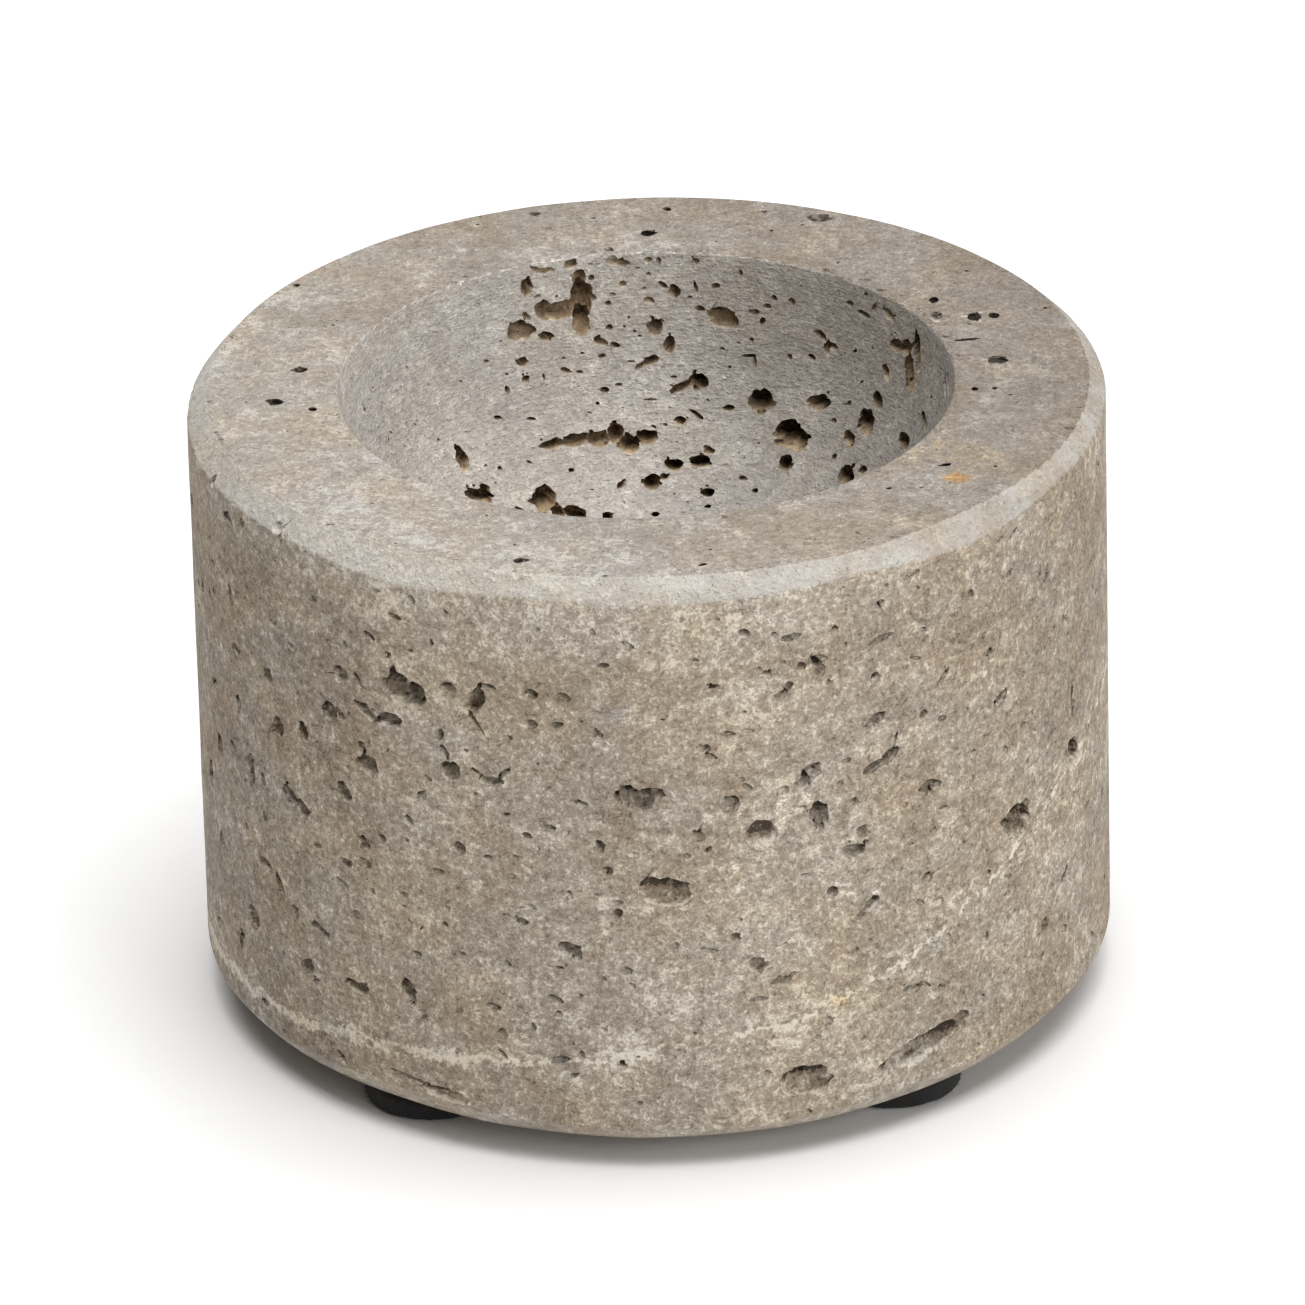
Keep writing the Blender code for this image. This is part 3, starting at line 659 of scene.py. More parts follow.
def scattered_lobes(sizes, settings, taken):
    """Seeded pores of every size, thick in some patches and thin in others, off the named voids.

    Half width follows low * (high / low)^(share^1.6): many small and few large. A pore stays if it is
    clear of every larger one by their sizes.
    """
    draws = np.random.default_rng(settings.pore_seed)
    found = []
    centres, reaches = [taken["centre"]], [taken["half"].max(axis=1)]
    for zone, count, low, high in SCATTER:
        count = int(count * settings.pore_density)
        tries = count * 4
        angle, second = zone_places(sizes, zone, tries, draws)
        share = draws.uniform(0, 1, tries)
        size = low * (high / low) ** (share**1.6) * MM
        flatness = draws.uniform(0.45, 1.0, tries)
        turn = draws.normal(0, 0.55, tries)
        depth = size * draws.uniform(0.8, 1.7, tries)
        sunk = draws.uniform(-0.2, 0.5, tries)
        lean = np.stack([draws.uniform(-0.4, 0.4, tries), draws.uniform(-1.1, -0.2, tries)], axis=-1)
        patch = draws.uniform(-0.75, 0.75, tries)
        named = abs((np.degrees(angle) - NAMED_MIDDLES[zone] + 180) % 360 - 180) < NAMED_HALVES[zone]
        patch = np.where(named & (size > 0.8 * MM), 1.0, patch)
        made = lobes_at(sizes, zone, angle, second, size, size * flatness, turn, depth, sunk, lean)
        thick = rough_noise(made["centre"] / (14 * MM), 2, 77)
        reach = made["half"].max(axis=1) * PORE_REACH
        kept = []
        others, other_reach = np.concatenate(centres), np.concatenate(reaches)
        for index in np.flatnonzero(patch < thick):
            gap = np.linalg.norm(others - made["centre"][index], axis=1) - other_reach - reach[index]
            if gap.min() < PORE_CLEARANCE:
                continue
            kept.append(index)
            others = np.concatenate([others, made["centre"][index][None]])
            other_reach = np.append(other_reach, reach[index])
            if len(kept) == count:
                break
        made = {key: value[kept] for key, value in made.items()}
        found.append(made)
        centres.append(made["centre"])
        reaches.append(made["half"].max(axis=1) * PORE_REACH)
    pores = joined(found)
    doubled = (pores["size"] > 0.45 * MM) & (draws.uniform(0, 1, len(pores["size"])) < 0.35)
    second = {key: value[doubled].copy() for key, value in pores.items()}
    spin = draws.uniform(-math.pi, math.pi, doubled.sum())[:, None]
    shift = second["axes"][:, 0] * np.cos(spin) + second["axes"][:, 1] * np.sin(spin)
    second["centre"] = second["centre"] + shift * (0.85 * second["size"])[:, None]
    second["half"] = second["half"] * draws.uniform(0.45, 0.8, (doubled.sum(), 1))
    second["size"] = second["size"] * 0.7
    return joined([pores, second])


def edge_chips(sizes, settings):
    """Small bites along the stone's worn corners, each a lump centred on the corner line."""
    draws = np.random.default_rng(settings.pore_seed + 1)
    found = []
    corners = (
        ("wall", 40, sizes["top"] - sizes["drop"]),
        ("wall", 40, sizes["bottom"] + 1.9 * MM),
        ("rim", 30, sizes["radius"] - sizes["inset"]),
        ("rim", 30, sizes["mouth"]),
    )
    for zone, count, level in corners:
        angle = draws.uniform(-math.pi, math.pi, count)
        size = draws.uniform(0.2, 0.65, count) * MM
        second = level + draws.normal(0, 0.2 * MM, count)
        made = lobes_at(
            sizes, zone, angle, second, size * 1.5, size * 0.8, draws.normal(0, 0.3, count),
            size * 0.7, np.full(count, -0.2), np.zeros((count, 2)),
        )
        found.append(made)
    return joined(found)


def grouped(lobes):
    """A group number for each lobe, so that no two in a group touch: each takes the first free one."""
    reach = lobes["half"].max(axis=1) * 1.25 + np.abs(lobes["lean"]).max(axis=1) * lobes["half"][:, 2]
    group = np.full(len(reach), -1)
    members = []
    for index in np.argsort(-reach):
        for number in range(len(members) + 1):
            if number == len(members):
                members.append([])
            others = members[number]
            if others:
                gap = np.linalg.norm(lobes["centre"][others] - lobes["centre"][index], axis=1)
                if (gap < reach[others] + reach[index]).any():
                    continue
            others.append(index)
            group[index] = number
            break
    return group


def lobe_surface(lobes, turns, bands, seed):
    """Closed lumpy balls, all at once. Point = centre + axes * (half * direction * swell), leaned over.

    swell = 1 + lumps * rough noise of the direction scaled by the lobe's size, so that large lobes get
    many lumps and small ones few. Leaning adds lean * depth to the two sideways parts. The third result
    is how far up the lobe each point lies, from -1 to 1.
    """
    way = ball_directions(turns, bands)[None]
    size = lobes["size"][:, None, None]
    offset = lobes["centre"][:, None] / MM * 7.31
    pitch = 1.1 + np.minimum(size / (1.1 * MM), 1.8)
    swell = 1 + lobes["lumps"][:, None, None] * rough_noise(way * pitch + offset, 2, seed)[..., None]
    local = lobes["half"][:, None] * way * swell
    local[..., :2] += lobes["lean"][:, None] * local[..., 2:]
    around = np.einsum("nvk,nkc->nvc", local, lobes["axes"])
    points = lobes["centre"][:, None] + around
    rise = np.einsum("nvc,nc->nv", around, lobes["up"]) / lobes["tall"][:, None]
    each = ball_triangles(turns, bands)
    steps = np.arange(len(points))[:, None, None] * way.shape[1]
    return points.reshape(-1, 3), (each[None] + steps).reshape(-1, 3), rise.ravel()


def cutter_mesh(lobes, number):
    """One mesh of all the lobes of a group, finer for the larger ones, with the rise of each point."""
    points, triangles, rises, count = [], [], [], 0
    for low, high, turns, bands in BALL_GRIDS:
        chosen = (lobes["size"] >= low * MM) & (lobes["size"] < high * MM)
        if not chosen.any():
            continue
        some = {key: value[chosen] for key, value in lobes.items()}
        more, faces, rise = lobe_surface(some, turns, bands, 100 + number)
        points.append(more)
        triangles.append(faces + count)
        rises.append(rise)
        count += len(more)
    mesh = mesh_of(f"pores_{number}", np.concatenate(points), np.concatenate(triangles))
    store(mesh, "rise", "POINT", np.concatenate(rises))
    store(mesh, "crust", "POINT", np.ones(count))
    store(mesh, "pore", "FACE", np.ones(len(mesh.polygons)))
    return mesh


def carved(block, lobes):
    """The block with every lobe cut out of it, one group of lobes after another."""
    group = grouped(lobes)
    cutters = []
    for number in range(group.max() + 1):
        some = {key: value[group == number] for key, value in lobes.items()}
        cutter = object_of(f"pores_{number}", cutter_mesh(some, number))
        cutters.append(cutter)
        cut = block.modifiers.new(cutter.name, "BOOLEAN")
        cut.operation = "DIFFERENCE"
        cut.solver = "MANIFOLD"
        cut.object = cutter
    bpy.context.view_layer.update()
    graph = bpy.context.evaluated_depsgraph_get()
    made = bpy.data.meshes.new_from_object(block.evaluated_get(graph))
    block.modifiers.clear()
    for cutter in cutters:
        mesh = cutter.data
        bpy.data.objects.remove(cutter)
        bpy.data.meshes.remove(mesh)
    return made


def without_shared_diagonals(points, triangles, owners):
    """Each edge used by four triangles is split at its middle, for the two that share a face.

    Two flat faces that meet at two points far apart can both be cut along the line between them. A
    triangle is split once in a round, and the rounds end when no such edge is left.
    """
    while True:
        ends = np.concatenate([triangles[:, [0, 1]], triangles[:, [1, 2]], triangles[:, [2, 0]]])
        ends = np.sort(ends, axis=1)
        _, index, counts = np.unique(ends, axis=0, return_inverse=True, return_counts=True)
        index = index.ravel()
        pairs = {}
        for use in np.flatnonzero(counts[index] > 2):
            triangle, turn = use % len(triangles), use // len(triangles)
            pairs.setdefault((index[use], owners[triangle]), []).append((triangle, turn))
        split = set()
        points, triangles, owners = list(points), list(triangles), list(owners)
        for uses in pairs.values():
            if len(uses) != 2 or split & {triangle for triangle, _ in uses}:
                continue
            middle = len(points)
            for triangle, turn in uses:
                a, b, c = np.roll(triangles[triangle], -turn)
                if middle == len(points):
                    points.append((points[a] + points[b]) / 2)
                triangles[triangle] = np.array((a, middle, c))
                triangles.append(np.array((middle, b, c)))
                owners.append(owners[triangle])
                split.add(triangle)
        points, triangles, owners = np.array(points), np.array(triangles), np.array(owners)
        if not split:
            return points, triangles, owners


def largest_body(points, triangles, owners):
    """The largest connected part, without loose crumbs: labels spread over edges until none changes."""
    label = np.arange(len(points))
    while True:
        least = label[triangles].min(axis=1)
        fresh = label.copy()
        for corner in range(3):
            np.minimum.at(fresh, triangles[:, corner], least)
        fresh = fresh[fresh]
        if (fresh == label).all():
            break
        label = fresh
    owner = label[triangles[:, 0]]
    names, counts = np.unique(owner, return_counts=True)
    inside = owner == names[counts.argmax()]
    used, index = np.unique(triangles[inside], return_inverse=True)
    return points[used], index.reshape(-1, 3), owners[inside]


def depth_below(sizes, points, settings):
    """How far each point lies inside the stone's unbroken skin, and which skin is nearest.

    The least of: radius - out, top - height, height - bottom, the ball's distance, and the two chamfers'.
    """
    out, height = np.hypot(points[:, 0], points[:, 1]), points[:, 2]
    angle = np.arctan2(points[:, 1], points[:, 0])
    inset, drop = chamfer_shape(sizes, angle, settings.chamfer_unevenness)
    slant = np.hypot(inset, drop)
    chamfer = ((sizes["radius"] - out) * drop + (sizes["top"] - height) * inset - inset * drop) / slant
    inset, rise = base_shape(angle)
    base = (sizes["radius"] - out) * rise + (height - sizes["bottom"]) * inset - inset * rise
    base = base / np.hypot(inset, rise)
    ball = np.hypot(out, height - sizes["ball_height"]) - sizes["ball"]
    skins = np.stack([
        sizes["radius"] - out, sizes["top"] - height, height - sizes["bottom"], ball, chamfer, base,
    ])
    return skins.min(axis=0), skins.argmin(axis=0)


def fetch(mesh, name):
    """The stored number on each point or face."""
    layer = mesh.attributes[name].data
    values = np.empty(len(layer), np.float32)
    layer.foreach_get("value", values)
    return values


def store(mesh, name, domain, values):
    """A number on each point or face of the mesh, for its material to read."""
    layer = mesh.attributes.new(name, "FLOAT", domain)
    layer.data.foreach_set("value", np.asarray(values, np.float32))


def finish_piece(piece, slot, *nodes):
    """The piece rides on the one body and stands for the nodes; slot is not used."""
    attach(piece, BODY)
    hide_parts(*nodes)


# ---------------------------------------------------------------------------------------------------
# Materials
# ---------------------------------------------------------------------------------------------------


class Recipe:
    """A material's node tree, written as short calls that return sockets."""

    def __init__(self, name):
        self.material = bpy.data.materials.new(name)
        self.material.use_nodes = True
        self.tree = self.material.node_tree
        self.shader = self.tree.nodes["Principled BSDF"]
        self.place = self.node("ShaderNodeTexCoord").outputs["Object"]

    def node(self, kind, **settings):
        made = self.tree.nodes.new(kind)
        for key, value in settings.items():
            setattr(made, key, value)
        return made

    def put(self, socket, value):
        """A socket is linked, a plain value is set."""
        if isinstance(value, bpy.types.NodeSocket):
            self.tree.links.new(value, socket)
        elif hasattr(value, "__len__") and len(value) == 3 and socket.type == "RGBA":
            socket.default_value = (*value, 1.0)
        else:
            socket.default_value = value

    def stretched(self, scale=(1, 1, 1), shift=(0, 0, 0), turn=(0, 0, 0)):
        made = self.node("ShaderNodeMapping")
        self.put(made.inputs["Vector"], self.place)
        self.put(made.inputs["Scale"], scale)
        self.put(made.inputs["Location"], shift)
        self.put(made.inputs["Rotation"], turn)
        return made.outputs["Vector"]

    def noise(self, size, detail=2.0, roughness=0.5, warp=0.0, place=None):
        """Noise with features about this size in metres."""
        made = self.node("ShaderNodeTexNoise")
        self.put(made.inputs["Vector"], place or self.place)
        self.put(made.inputs["Scale"], 1 / size)
        self.put(made.inputs["Detail"], detail)
        self.put(made.inputs["Roughness"], roughness)
        self.put(made.inputs["Distortion"], warp)
        return made.outputs["Fac"]

    def cells(self, size):
        """Distance to the nearest seed of a cell pattern, in cells."""
        made = self.node("ShaderNodeTexVoronoi")
        self.put(made.inputs["Vector"], self.place)
        self.put(made.inputs["Scale"], 1 / size)
        return made.outputs["Distance"]

    def maths(self, operation, first, second=0.0, third=0.0):
        made = self.node("ShaderNodeMath", operation=operation)
        for socket, value in zip(made.inputs, (first, second, third)):
            self.put(socket, value)
        return made.outputs["Value"]

    def plus(self, first, second):
        return self.maths("ADD", first, second)

    def minus(self, first, second):
        return self.maths("SUBTRACT", first, second)

    def times(self, first, second):
        return self.maths("MULTIPLY", first, second)

    def times_plus(self, first, second, third):
        """first * second + third."""
        return self.maths("MULTIPLY_ADD", first, second, third)

    def ease(self, value, low, high, start=0.0, end=1.0):
        """start below low, end above high, and a smooth step between."""
        made = self.node("ShaderNodeMapRange", interpolation_type="SMOOTHSTEP")
        names = ("Value", "From Min", "From Max", "To Min", "To Max")
        for name, number in zip(names, (value, low, high, start, end)):
            self.put(made.inputs[name], number)
        return made.outputs["Result"]

    def mix(self, amount, first, second, blend="MIX"):
        made = self.node("ShaderNodeMix", data_type="RGBA", blend_type=blend)
        self.put(made.inputs["Factor"], amount)
        self.put(made.inputs[6], first)
        self.put(made.inputs[7], second)
        return made.outputs[2]

    def read(self, name):
        return self.node("ShaderNodeAttribute", attribute_name=name).outputs["Fac"]

    def split(self):
        made = self.node("ShaderNodeSeparateXYZ")
        self.put(made.inputs["Vector"], self.place)
        return made.outputs

    def bump(self, height, distance, strength=1.0, below=None):
        made = self.node("ShaderNodeBump")
        self.put(made.inputs["Height"], height)
        self.put(made.inputs["Distance"], distance)
        self.put(made.inputs["Strength"], strength)
        if below is not None:
            self.put(made.inputs["Normal"], below)
        return made.outputs["Normal"]


def travertine(settings, sizes):
    """Honed travertine: one lightness built from noises of many sizes, coloured by a ramp.

    Lightness = 0.5 + the sum of (noise - 0.5) * share over five sizes from 22 mm to 0.3 mm. Pale flecks,
    dark pits, the cream vein and the crust round each pore add to it, and painted shade inside each pore
    takes away: more deeper down and on its upper side.
    """
    made = Recipe("travertine")
    depth, bowl, chamfer = made.read("depth"), made.read("bowl"), made.read("chamfer")
    crust, rim = made.read("crust"), made.read("rim")
    beds = made.stretched(scale=(1, 1, 1.25), turn=(0.04, -0.12, 0))
    blotch = made.noise(22 * MM, 2, 0.5, 0.2, beds)
    patch = made.noise(6 * MM, 3, 0.55, 0.3, beds)
    curd = made.noise(1.9 * MM, 3, 0.65, 0.4, beds)
    speck = made.noise(0.7 * MM, 2, 0.6, 0.2)
    grain = made.noise(0.3 * MM, 1, 0.6)
    x, y, z = made.split()
    # The bowl and the ground faces are evener than the wall
    even = made.times_plus(bowl, -0.45, 1.0)
    even = made.times_plus(chamfer, -0.35, made.times_plus(rim, -0.3, even))
    light = 0.0
    for noise, share in ((blotch, 0.55), (patch, 0.5), (curd, 0.6), (speck, 1.0), (grain, 0.85)):
        light = made.plus(light, made.times_plus(noise, share, -0.5 * share))
    # Dark grains are fewer than pale ones
    light = made.maths("MAXIMUM", light, made.times(light, 0.72))
    # Thin wandering threads, pale and dark, where a noise crosses its middle
    pale_thread = made.maths("ABSOLUTE", made.minus(made.noise(2.4 * MM, 4, 0.6, 0.8, beds), 0.5))
    dark_thread = made.noise(1.7 * MM, 4, 0.62, 0.9, made.stretched(scale=(1, 1, 1.4), shift=(2, 9, 4)))
    dark_thread = made.maths("ABSOLUTE", made.minus(dark_thread, 0.5))
    pale_thread = made.times(made.ease(pale_thread, 0.03, 0.006), made.ease(curd, 0.4, 0.56))
    dark_thread = made.times(made.ease(dark_thread, 0.022, 0.004), made.ease(curd, 0.56, 0.42))
    light = made.times_plus(pale_thread, 0.2, made.times_plus(dark_thread, -0.24, light))
    flecks = made.ease(made.noise(0.85 * MM, 2, 0.6, 0.0, made.stretched(shift=(5, 2, 7))), 0.56, 0.66)
    creams = made.ease(patch, 0.5, 0.64)
    pits = made.ease(made.noise(0.6 * MM, 2, 0.6, 0.0, made.stretched(shift=(1, 8, 3))), 0.38, 0.30)
    light = made.times_plus(flecks, 0.2, made.times_plus(pits, -0.1, light))
    light = made.times_plus(made.times(creams, made.ease(curd, 0.42, 0.6)), 0.09, light)
    light = made.times_plus(light, even, 0.5)
    # The top is paler at its left and front
    slope = made.times_plus(x, -2.8, made.times(y, -1.5))
    light = made.times_plus(made.plus(rim, chamfer), slope, light)
    # The wall is paler just under the chamfer
    light = made.plus(light, made.ease(z, sizes["top"] - 11 * MM, sizes["top"] - 2 * MM, 0.0, 0.09))
    # Painted shade: the wall is darker at its sides, where it turns away from the light, and a little
    # lighter at its front middle
    painted_side_shade = made.ease(made.maths("ABSOLUTE", x), 12 * MM, 46 * MM, 0.045, -0.085)
    on_wall = made.minus(1.0, made.plus(bowl, made.plus(rim, chamfer)))
    light = made.times_plus(on_wall, painted_side_shade, light)
    # One cream vein: level at the left, rising to the right, where it breaks up into mottling
    course = made.times_plus(x, 0.13, 14.3 * MM)
    bend = made.maths("MAXIMUM", made.minus(x, 9 * MM), 0.0)
    course = made.times_plus(made.times(bend, bend), 10.0, course)
    wave = made.times_plus(made.noise(5 * MM, 5, 0.65, 0.4), 4.6 * MM, -2.3 * MM)
    away = made.maths("ABSOLUTE", made.minus(made.minus(z, course), wave))
    width = made.ease(x, -20 * MM, -7 * MM, 0.95 * MM, 0.42 * MM)
    away = made.plus(away, made.ease(speck, 0.4, 0.6, 0.25 * MM, -0.1 * MM))
    core = made.ease(made.maths("DIVIDE", away, width), 1.0, 0.45)
    vein = made.times(core, made.ease(patch, 0.34, 0.46))
    halo = made.times(made.ease(away, 5.0 * MM, 0.4 * MM), made.ease(curd, 0.44, 0.56))
    halo = made.times(halo, made.ease(x, 4 * MM, 16 * MM, 0.45, 1.0))
    light = made.times_plus(vein, 0.38, made.times_plus(halo, 0.15, light))
    # A pale crust lines each pore and shows round its mouth
    ring = made.times_plus(made.plus(speck, curd), 0.35, made.plus(crust, -0.35))
    ring = made.times(made.ease(ring, 0.54, 0.86), made.ease(depth, 0.6 * MM, 0.15 * MM))
    light = made.times_plus(ring, made.times_plus(bowl, -0.3, 0.4), light)
    # Painted shade inside a pore: its upper side is darkened, where the light from above doesn't reach,
    # and its lower side a little lightened; less so in the bowl
    pore, rise = made.read("pore"), made.read("rise")
    inside = made.times(pore, made.ease(depth, 0.0, 0.25 * MM, 0.35, 1.0))
    shade = made.ease(made.times_plus(curd, 0.6, rise), 0.05, 0.95, 0.03, -0.86)
    shade = made.times(shade, made.times_plus(bowl, -0.55, 1.0))
    light = made.times_plus(inside, shade, light)
    light = made.times_plus(made.times(inside, made.minus(curd, 0.5)), 0.9, light)
    # Painted shade: a pore grows darker with depth, a little less in the bowl
    deep = made.ease(depth, 0.8 * MM, 2.4 * MM)
    light = made.times_plus(deep, made.times_plus(bowl, 0.12, -0.3), light)
    ramp = made.node("ShaderNodeValToRGB")
    made.put(ramp.inputs["Fac"], light)
    stops = (
        (0.0, settings.deep_tone), (0.25, settings.dark_tone), (0.5, settings.middle_tone),
        (0.76, settings.pale_tone), (1.0, settings.cream_tone),
    )
    for index, (place, shown) in enumerate(stops):
        if index < 2:
            stop = ramp.color_ramp.elements[index]
            stop.position = place
        else:
            stop = ramp.color_ramp.elements.new(place)
        stop.color = (*shown, 1)
    colour = ramp.outputs["Color"]
    # Warm and cool areas, then the marks
    warm = made.noise(11 * MM, 3, 0.6, 0.3, made.stretched(shift=(3, 1, 2)))
    colour = made.mix(made.ease(warm, 0.38, 0.64), colour, tuple(settings.warm_cast), "MULTIPLY")
    casts = {
        "grey": (0.92, 1.0, 1.1), "cream": (1.3, 1.3, 1.27),
        "ochre": (1.08, 1.0, 0.82), "rust": (1.15, 0.8, 0.42),
    }
    for zone, angle, second, radius, kind in STAINS:
        point, _ = surface_place(sizes, zone, np.radians(angle), np.float64(second * MM))
        gap = made.node("ShaderNodeVectorMath", operation="DISTANCE")
        made.put(gap.inputs[0], made.place)
        gap.inputs[1].default_value = tuple(point)
        rough = made.times_plus(made.plus(patch, curd), -2.6 * radius * MM, gap.outputs["Value"])
        amount = made.ease(rough, -1.6 * radius * MM, -2.6 * radius * MM)
        colour = made.mix(amount, colour, casts[kind], "MULTIPLY")
    # Ground faces are cooler: the bowl most, the chamfers also paler
    bowl_grey_and_shade = made.times(bowl, made.ease(depth, 0.5 * MM, 0.1 * MM))
    grey = made.node("ShaderNodeHueSaturation")
    made.put(grey.inputs["Saturation"], made.times_plus(bowl_grey_and_shade, -0.5, 1.0))
    # Painted light and shade: the bowl's face is lighter at its left, which faces the light, and darker at
    # its right, which lies in its own shade
    painted_bowl_light = made.ease(x, -10 * MM, 31 * MM, 0.27, -0.13)
    made.put(grey.inputs["Value"], made.times_plus(bowl_grey_and_shade, painted_bowl_light, 1.0))
    made.put(grey.inputs["Color"], colour)
    colour = grey.outputs["Color"]
    colour = made.mix(made.times(bowl, inside), colour, tuple(settings.bowl_pore_cast), "MULTIPLY")
    colour = made.mix(made.times(rim, 0.9), colour, tuple(settings.rim_cast), "MULTIPLY")
    ground = made.times(chamfer, made.ease(patch, 0.35, 0.65, 0.25, 0.55))
    colour = made.mix(ground, colour, tuple(settings.ground_tone))
    made.put(made.shader.inputs["Base Color"], colour)
    made.put(made.shader.inputs["Roughness"], made.ease(curd, 0.35, 0.65, 0.7, 0.92))
    made.put(made.shader.inputs["Specular IOR Level"], 0.3)
    # Relief: crystals everywhere, coarser inside the pores, and level sanding marks in the bowl
    relief = made.bump(grain, 0.07 * MM, 0.9)
    relief = made.bump(speck, 0.22 * MM, 0.9, relief)
    relief = made.bump(curd, 0.32 * MM, made.times_plus(inside, 0.6, 0.35), relief)
    relief = made.bump(made.minus(flecks, made.times(pits, 1.6)), 0.07 * MM, 0.8, relief)
    marks = made.noise(0.45 * MM, 2, 0.6, 0.2, made.stretched(scale=(0.3, 0.3, 1.5)))
    relief = made.bump(marks, 0.2 * MM, made.times(bowl, 0.7), relief)
    made.put(made.shader.inputs["Normal"], relief)
    return made.material


def felt(settings):
    """Black wool felt: near black with grey lint, a soft sheen and a matted, fibrous relief."""
    made = Recipe("black_felt")
    lint = made.noise(0.5 * MM, 5, 0.75, 1.5)
    fibres = made.noise(0.16 * MM, 3, 0.6, 2.0, made.stretched(scale=(1, 0.35, 1), turn=(0, 0, 0.7)))
    colour = made.mix(made.ease(lint, 0.52, 0.72), tuple(settings.felt_tone), tuple(settings.lint_tone))
    colour = made.mix(made.ease(fibres, 0.55, 0.75, 0.0, 0.5), colour, tuple(settings.lint_tone))
    made.put(made.shader.inputs["Base Color"], colour)
    made.put(made.shader.inputs["Roughness"], 0.95)
    made.put(made.shader.inputs["Sheen Weight"], 0.08)
    made.put(made.shader.inputs["Sheen Roughness"], 0.6)
    relief = made.bump(lint, 0.25 * MM, 0.9)
    made.put(made.shader.inputs["Normal"], made.bump(fibres, 0.08 * MM, 0.8, relief))
    return made.material


def adhesive(settings):
    """A film of clear adhesive: greyish, half shiny, with small trapped bubbles."""
    made = Recipe("clear_adhesive")
    bubbles = made.ease(made.cells(0.9 * MM), 0.12, 0.3)
    haze = made.noise(2.5 * MM, 3, 0.6)
    colour = made.mix(made.ease(haze, 0.4, 0.65), tuple(settings.film_tone), tuple(settings.haze_tone))
    made.put(made.shader.inputs["Base Color"], colour)
    made.put(made.shader.inputs["Roughness"], made.ease(haze, 0.35, 0.65, 0.35, 0.55))
    made.put(made.shader.inputs["Normal"], made.bump(bubbles, 0.04 * MM, 0.6))
    return made.material


def studio_floor(settings):
    """A matt pale sweep with the faintest unevenness, so that it doesn't band."""
    made = Recipe("studio_floor")
    pale = tuple(settings.floor_tone)
    shade = tuple(0.985 * part for part in pale)
    made.put(made.shader.inputs["Base Color"], made.mix(made.noise(0.05, 3, 0.6), shade, pale))
    made.put(made.shader.inputs["Roughness"], 0.9)
    made.put(made.shader.inputs["Specular IOR Level"], 0.1)
    return made.material


# ---------------------------------------------------------------------------------------------------
# Settings
# ---------------------------------------------------------------------------------------------------


def length(name, description, default, highest):
    return FloatProperty(
        name=name, description=description, default=default, min=0, max=highest, unit="LENGTH",
        subtype="DISTANCE", precision=5,
    )


def tone(name, description, default):
    return FloatVectorProperty(
        name=name, description=description, default=default, min=0, max=1, size=3, subtype="COLOR"
    )


class MortarStoneSettings(PropertyGroup):
    turns: IntProperty(
        name="Steps round", description="Points round the stone's axis", default=120, min=48, max=400
    )
    spacing: length("Spacing", "Distance between rings of points", 2.3 * MM, 0.01)
    edge_rounding: length("Edge rounding", "How far the corners are worn round", 0.35 * MM, 0.002)
    lip_rounding: length("Lip rounding", "Radius of the round at the bowl's lip", 0.4 * MM, 0.002)
    surface_wear: length("Surface wear", "Deepest dip of the uneven faces", 0.12 * MM, 0.001)
    chamfer_unevenness: FloatProperty(
        name="Chamfer unevenness", description="Extra wander of the chamfer's width",
        default=0.5, min=0, max=1,
        subtype="FACTOR",
    )
    pore_seed: IntProperty(name="Pore seed", description="Which scatter of pores", default=12, min=0)
    pore_density: FloatProperty(
        name="Pore density", description="Share of the full number of scattered pores",
        default=1.0, min=0, max=2,
    )
    # The deep tone serves both the darkest grains and the painted shade at the bottoms of the pores
    deep_tone: tone("Deep", "Darkest grains and the bottoms of the pores", (0.05, 0.038, 0.027))
    dark_tone: tone("Dark", "Dark taupe", (0.225, 0.183, 0.139))
    middle_tone: tone("Middle", "The stone's usual taupe", (0.331, 0.281, 0.224))
    pale_tone: tone("Pale", "Pale crystals", (0.475, 0.42, 0.349))
    cream_tone: tone("Cream", "Cream crust and the vein", (0.70, 0.645, 0.55))
    warm_cast: tone("Warm cast", "Multiplies the warm areas", (1.0, 0.95, 0.865))
    bowl_pore_cast: tone("Bowl pores", "Multiplies the colour inside the bowl's pores", (0.95, 0.84, 0.7))
    rim_cast: tone("Rim cast", "Multiplies the rim's colour", (0.695, 0.72, 0.785))
    ground_tone: tone("Ground", "Chalky tone of the ground chamfers", (0.452, 0.448, 0.438))


class MortarPadSettings(PropertyGroup):
    felt_tone: tone("Felt", "Black wool", (0.007, 0.0062, 0.0058))
    lint_tone: tone("Lint", "Grey lint on the wool", (0.030, 0.027, 0.025))
    film_tone: tone("Film", "Clear adhesive film", (0.5, 0.48, 0.44))
    haze_tone: tone("Haze", "Hazy parts of the film", (0.62, 0.6, 0.56))
    fuzz_height: length("Fuzz height", "How far the felt's surface wanders", 0.14 * MM, 0.001)
    fibres: IntProperty(
        name="Fibres", description="Loose fibres on each pad", default=420, min=0, max=3000
    )


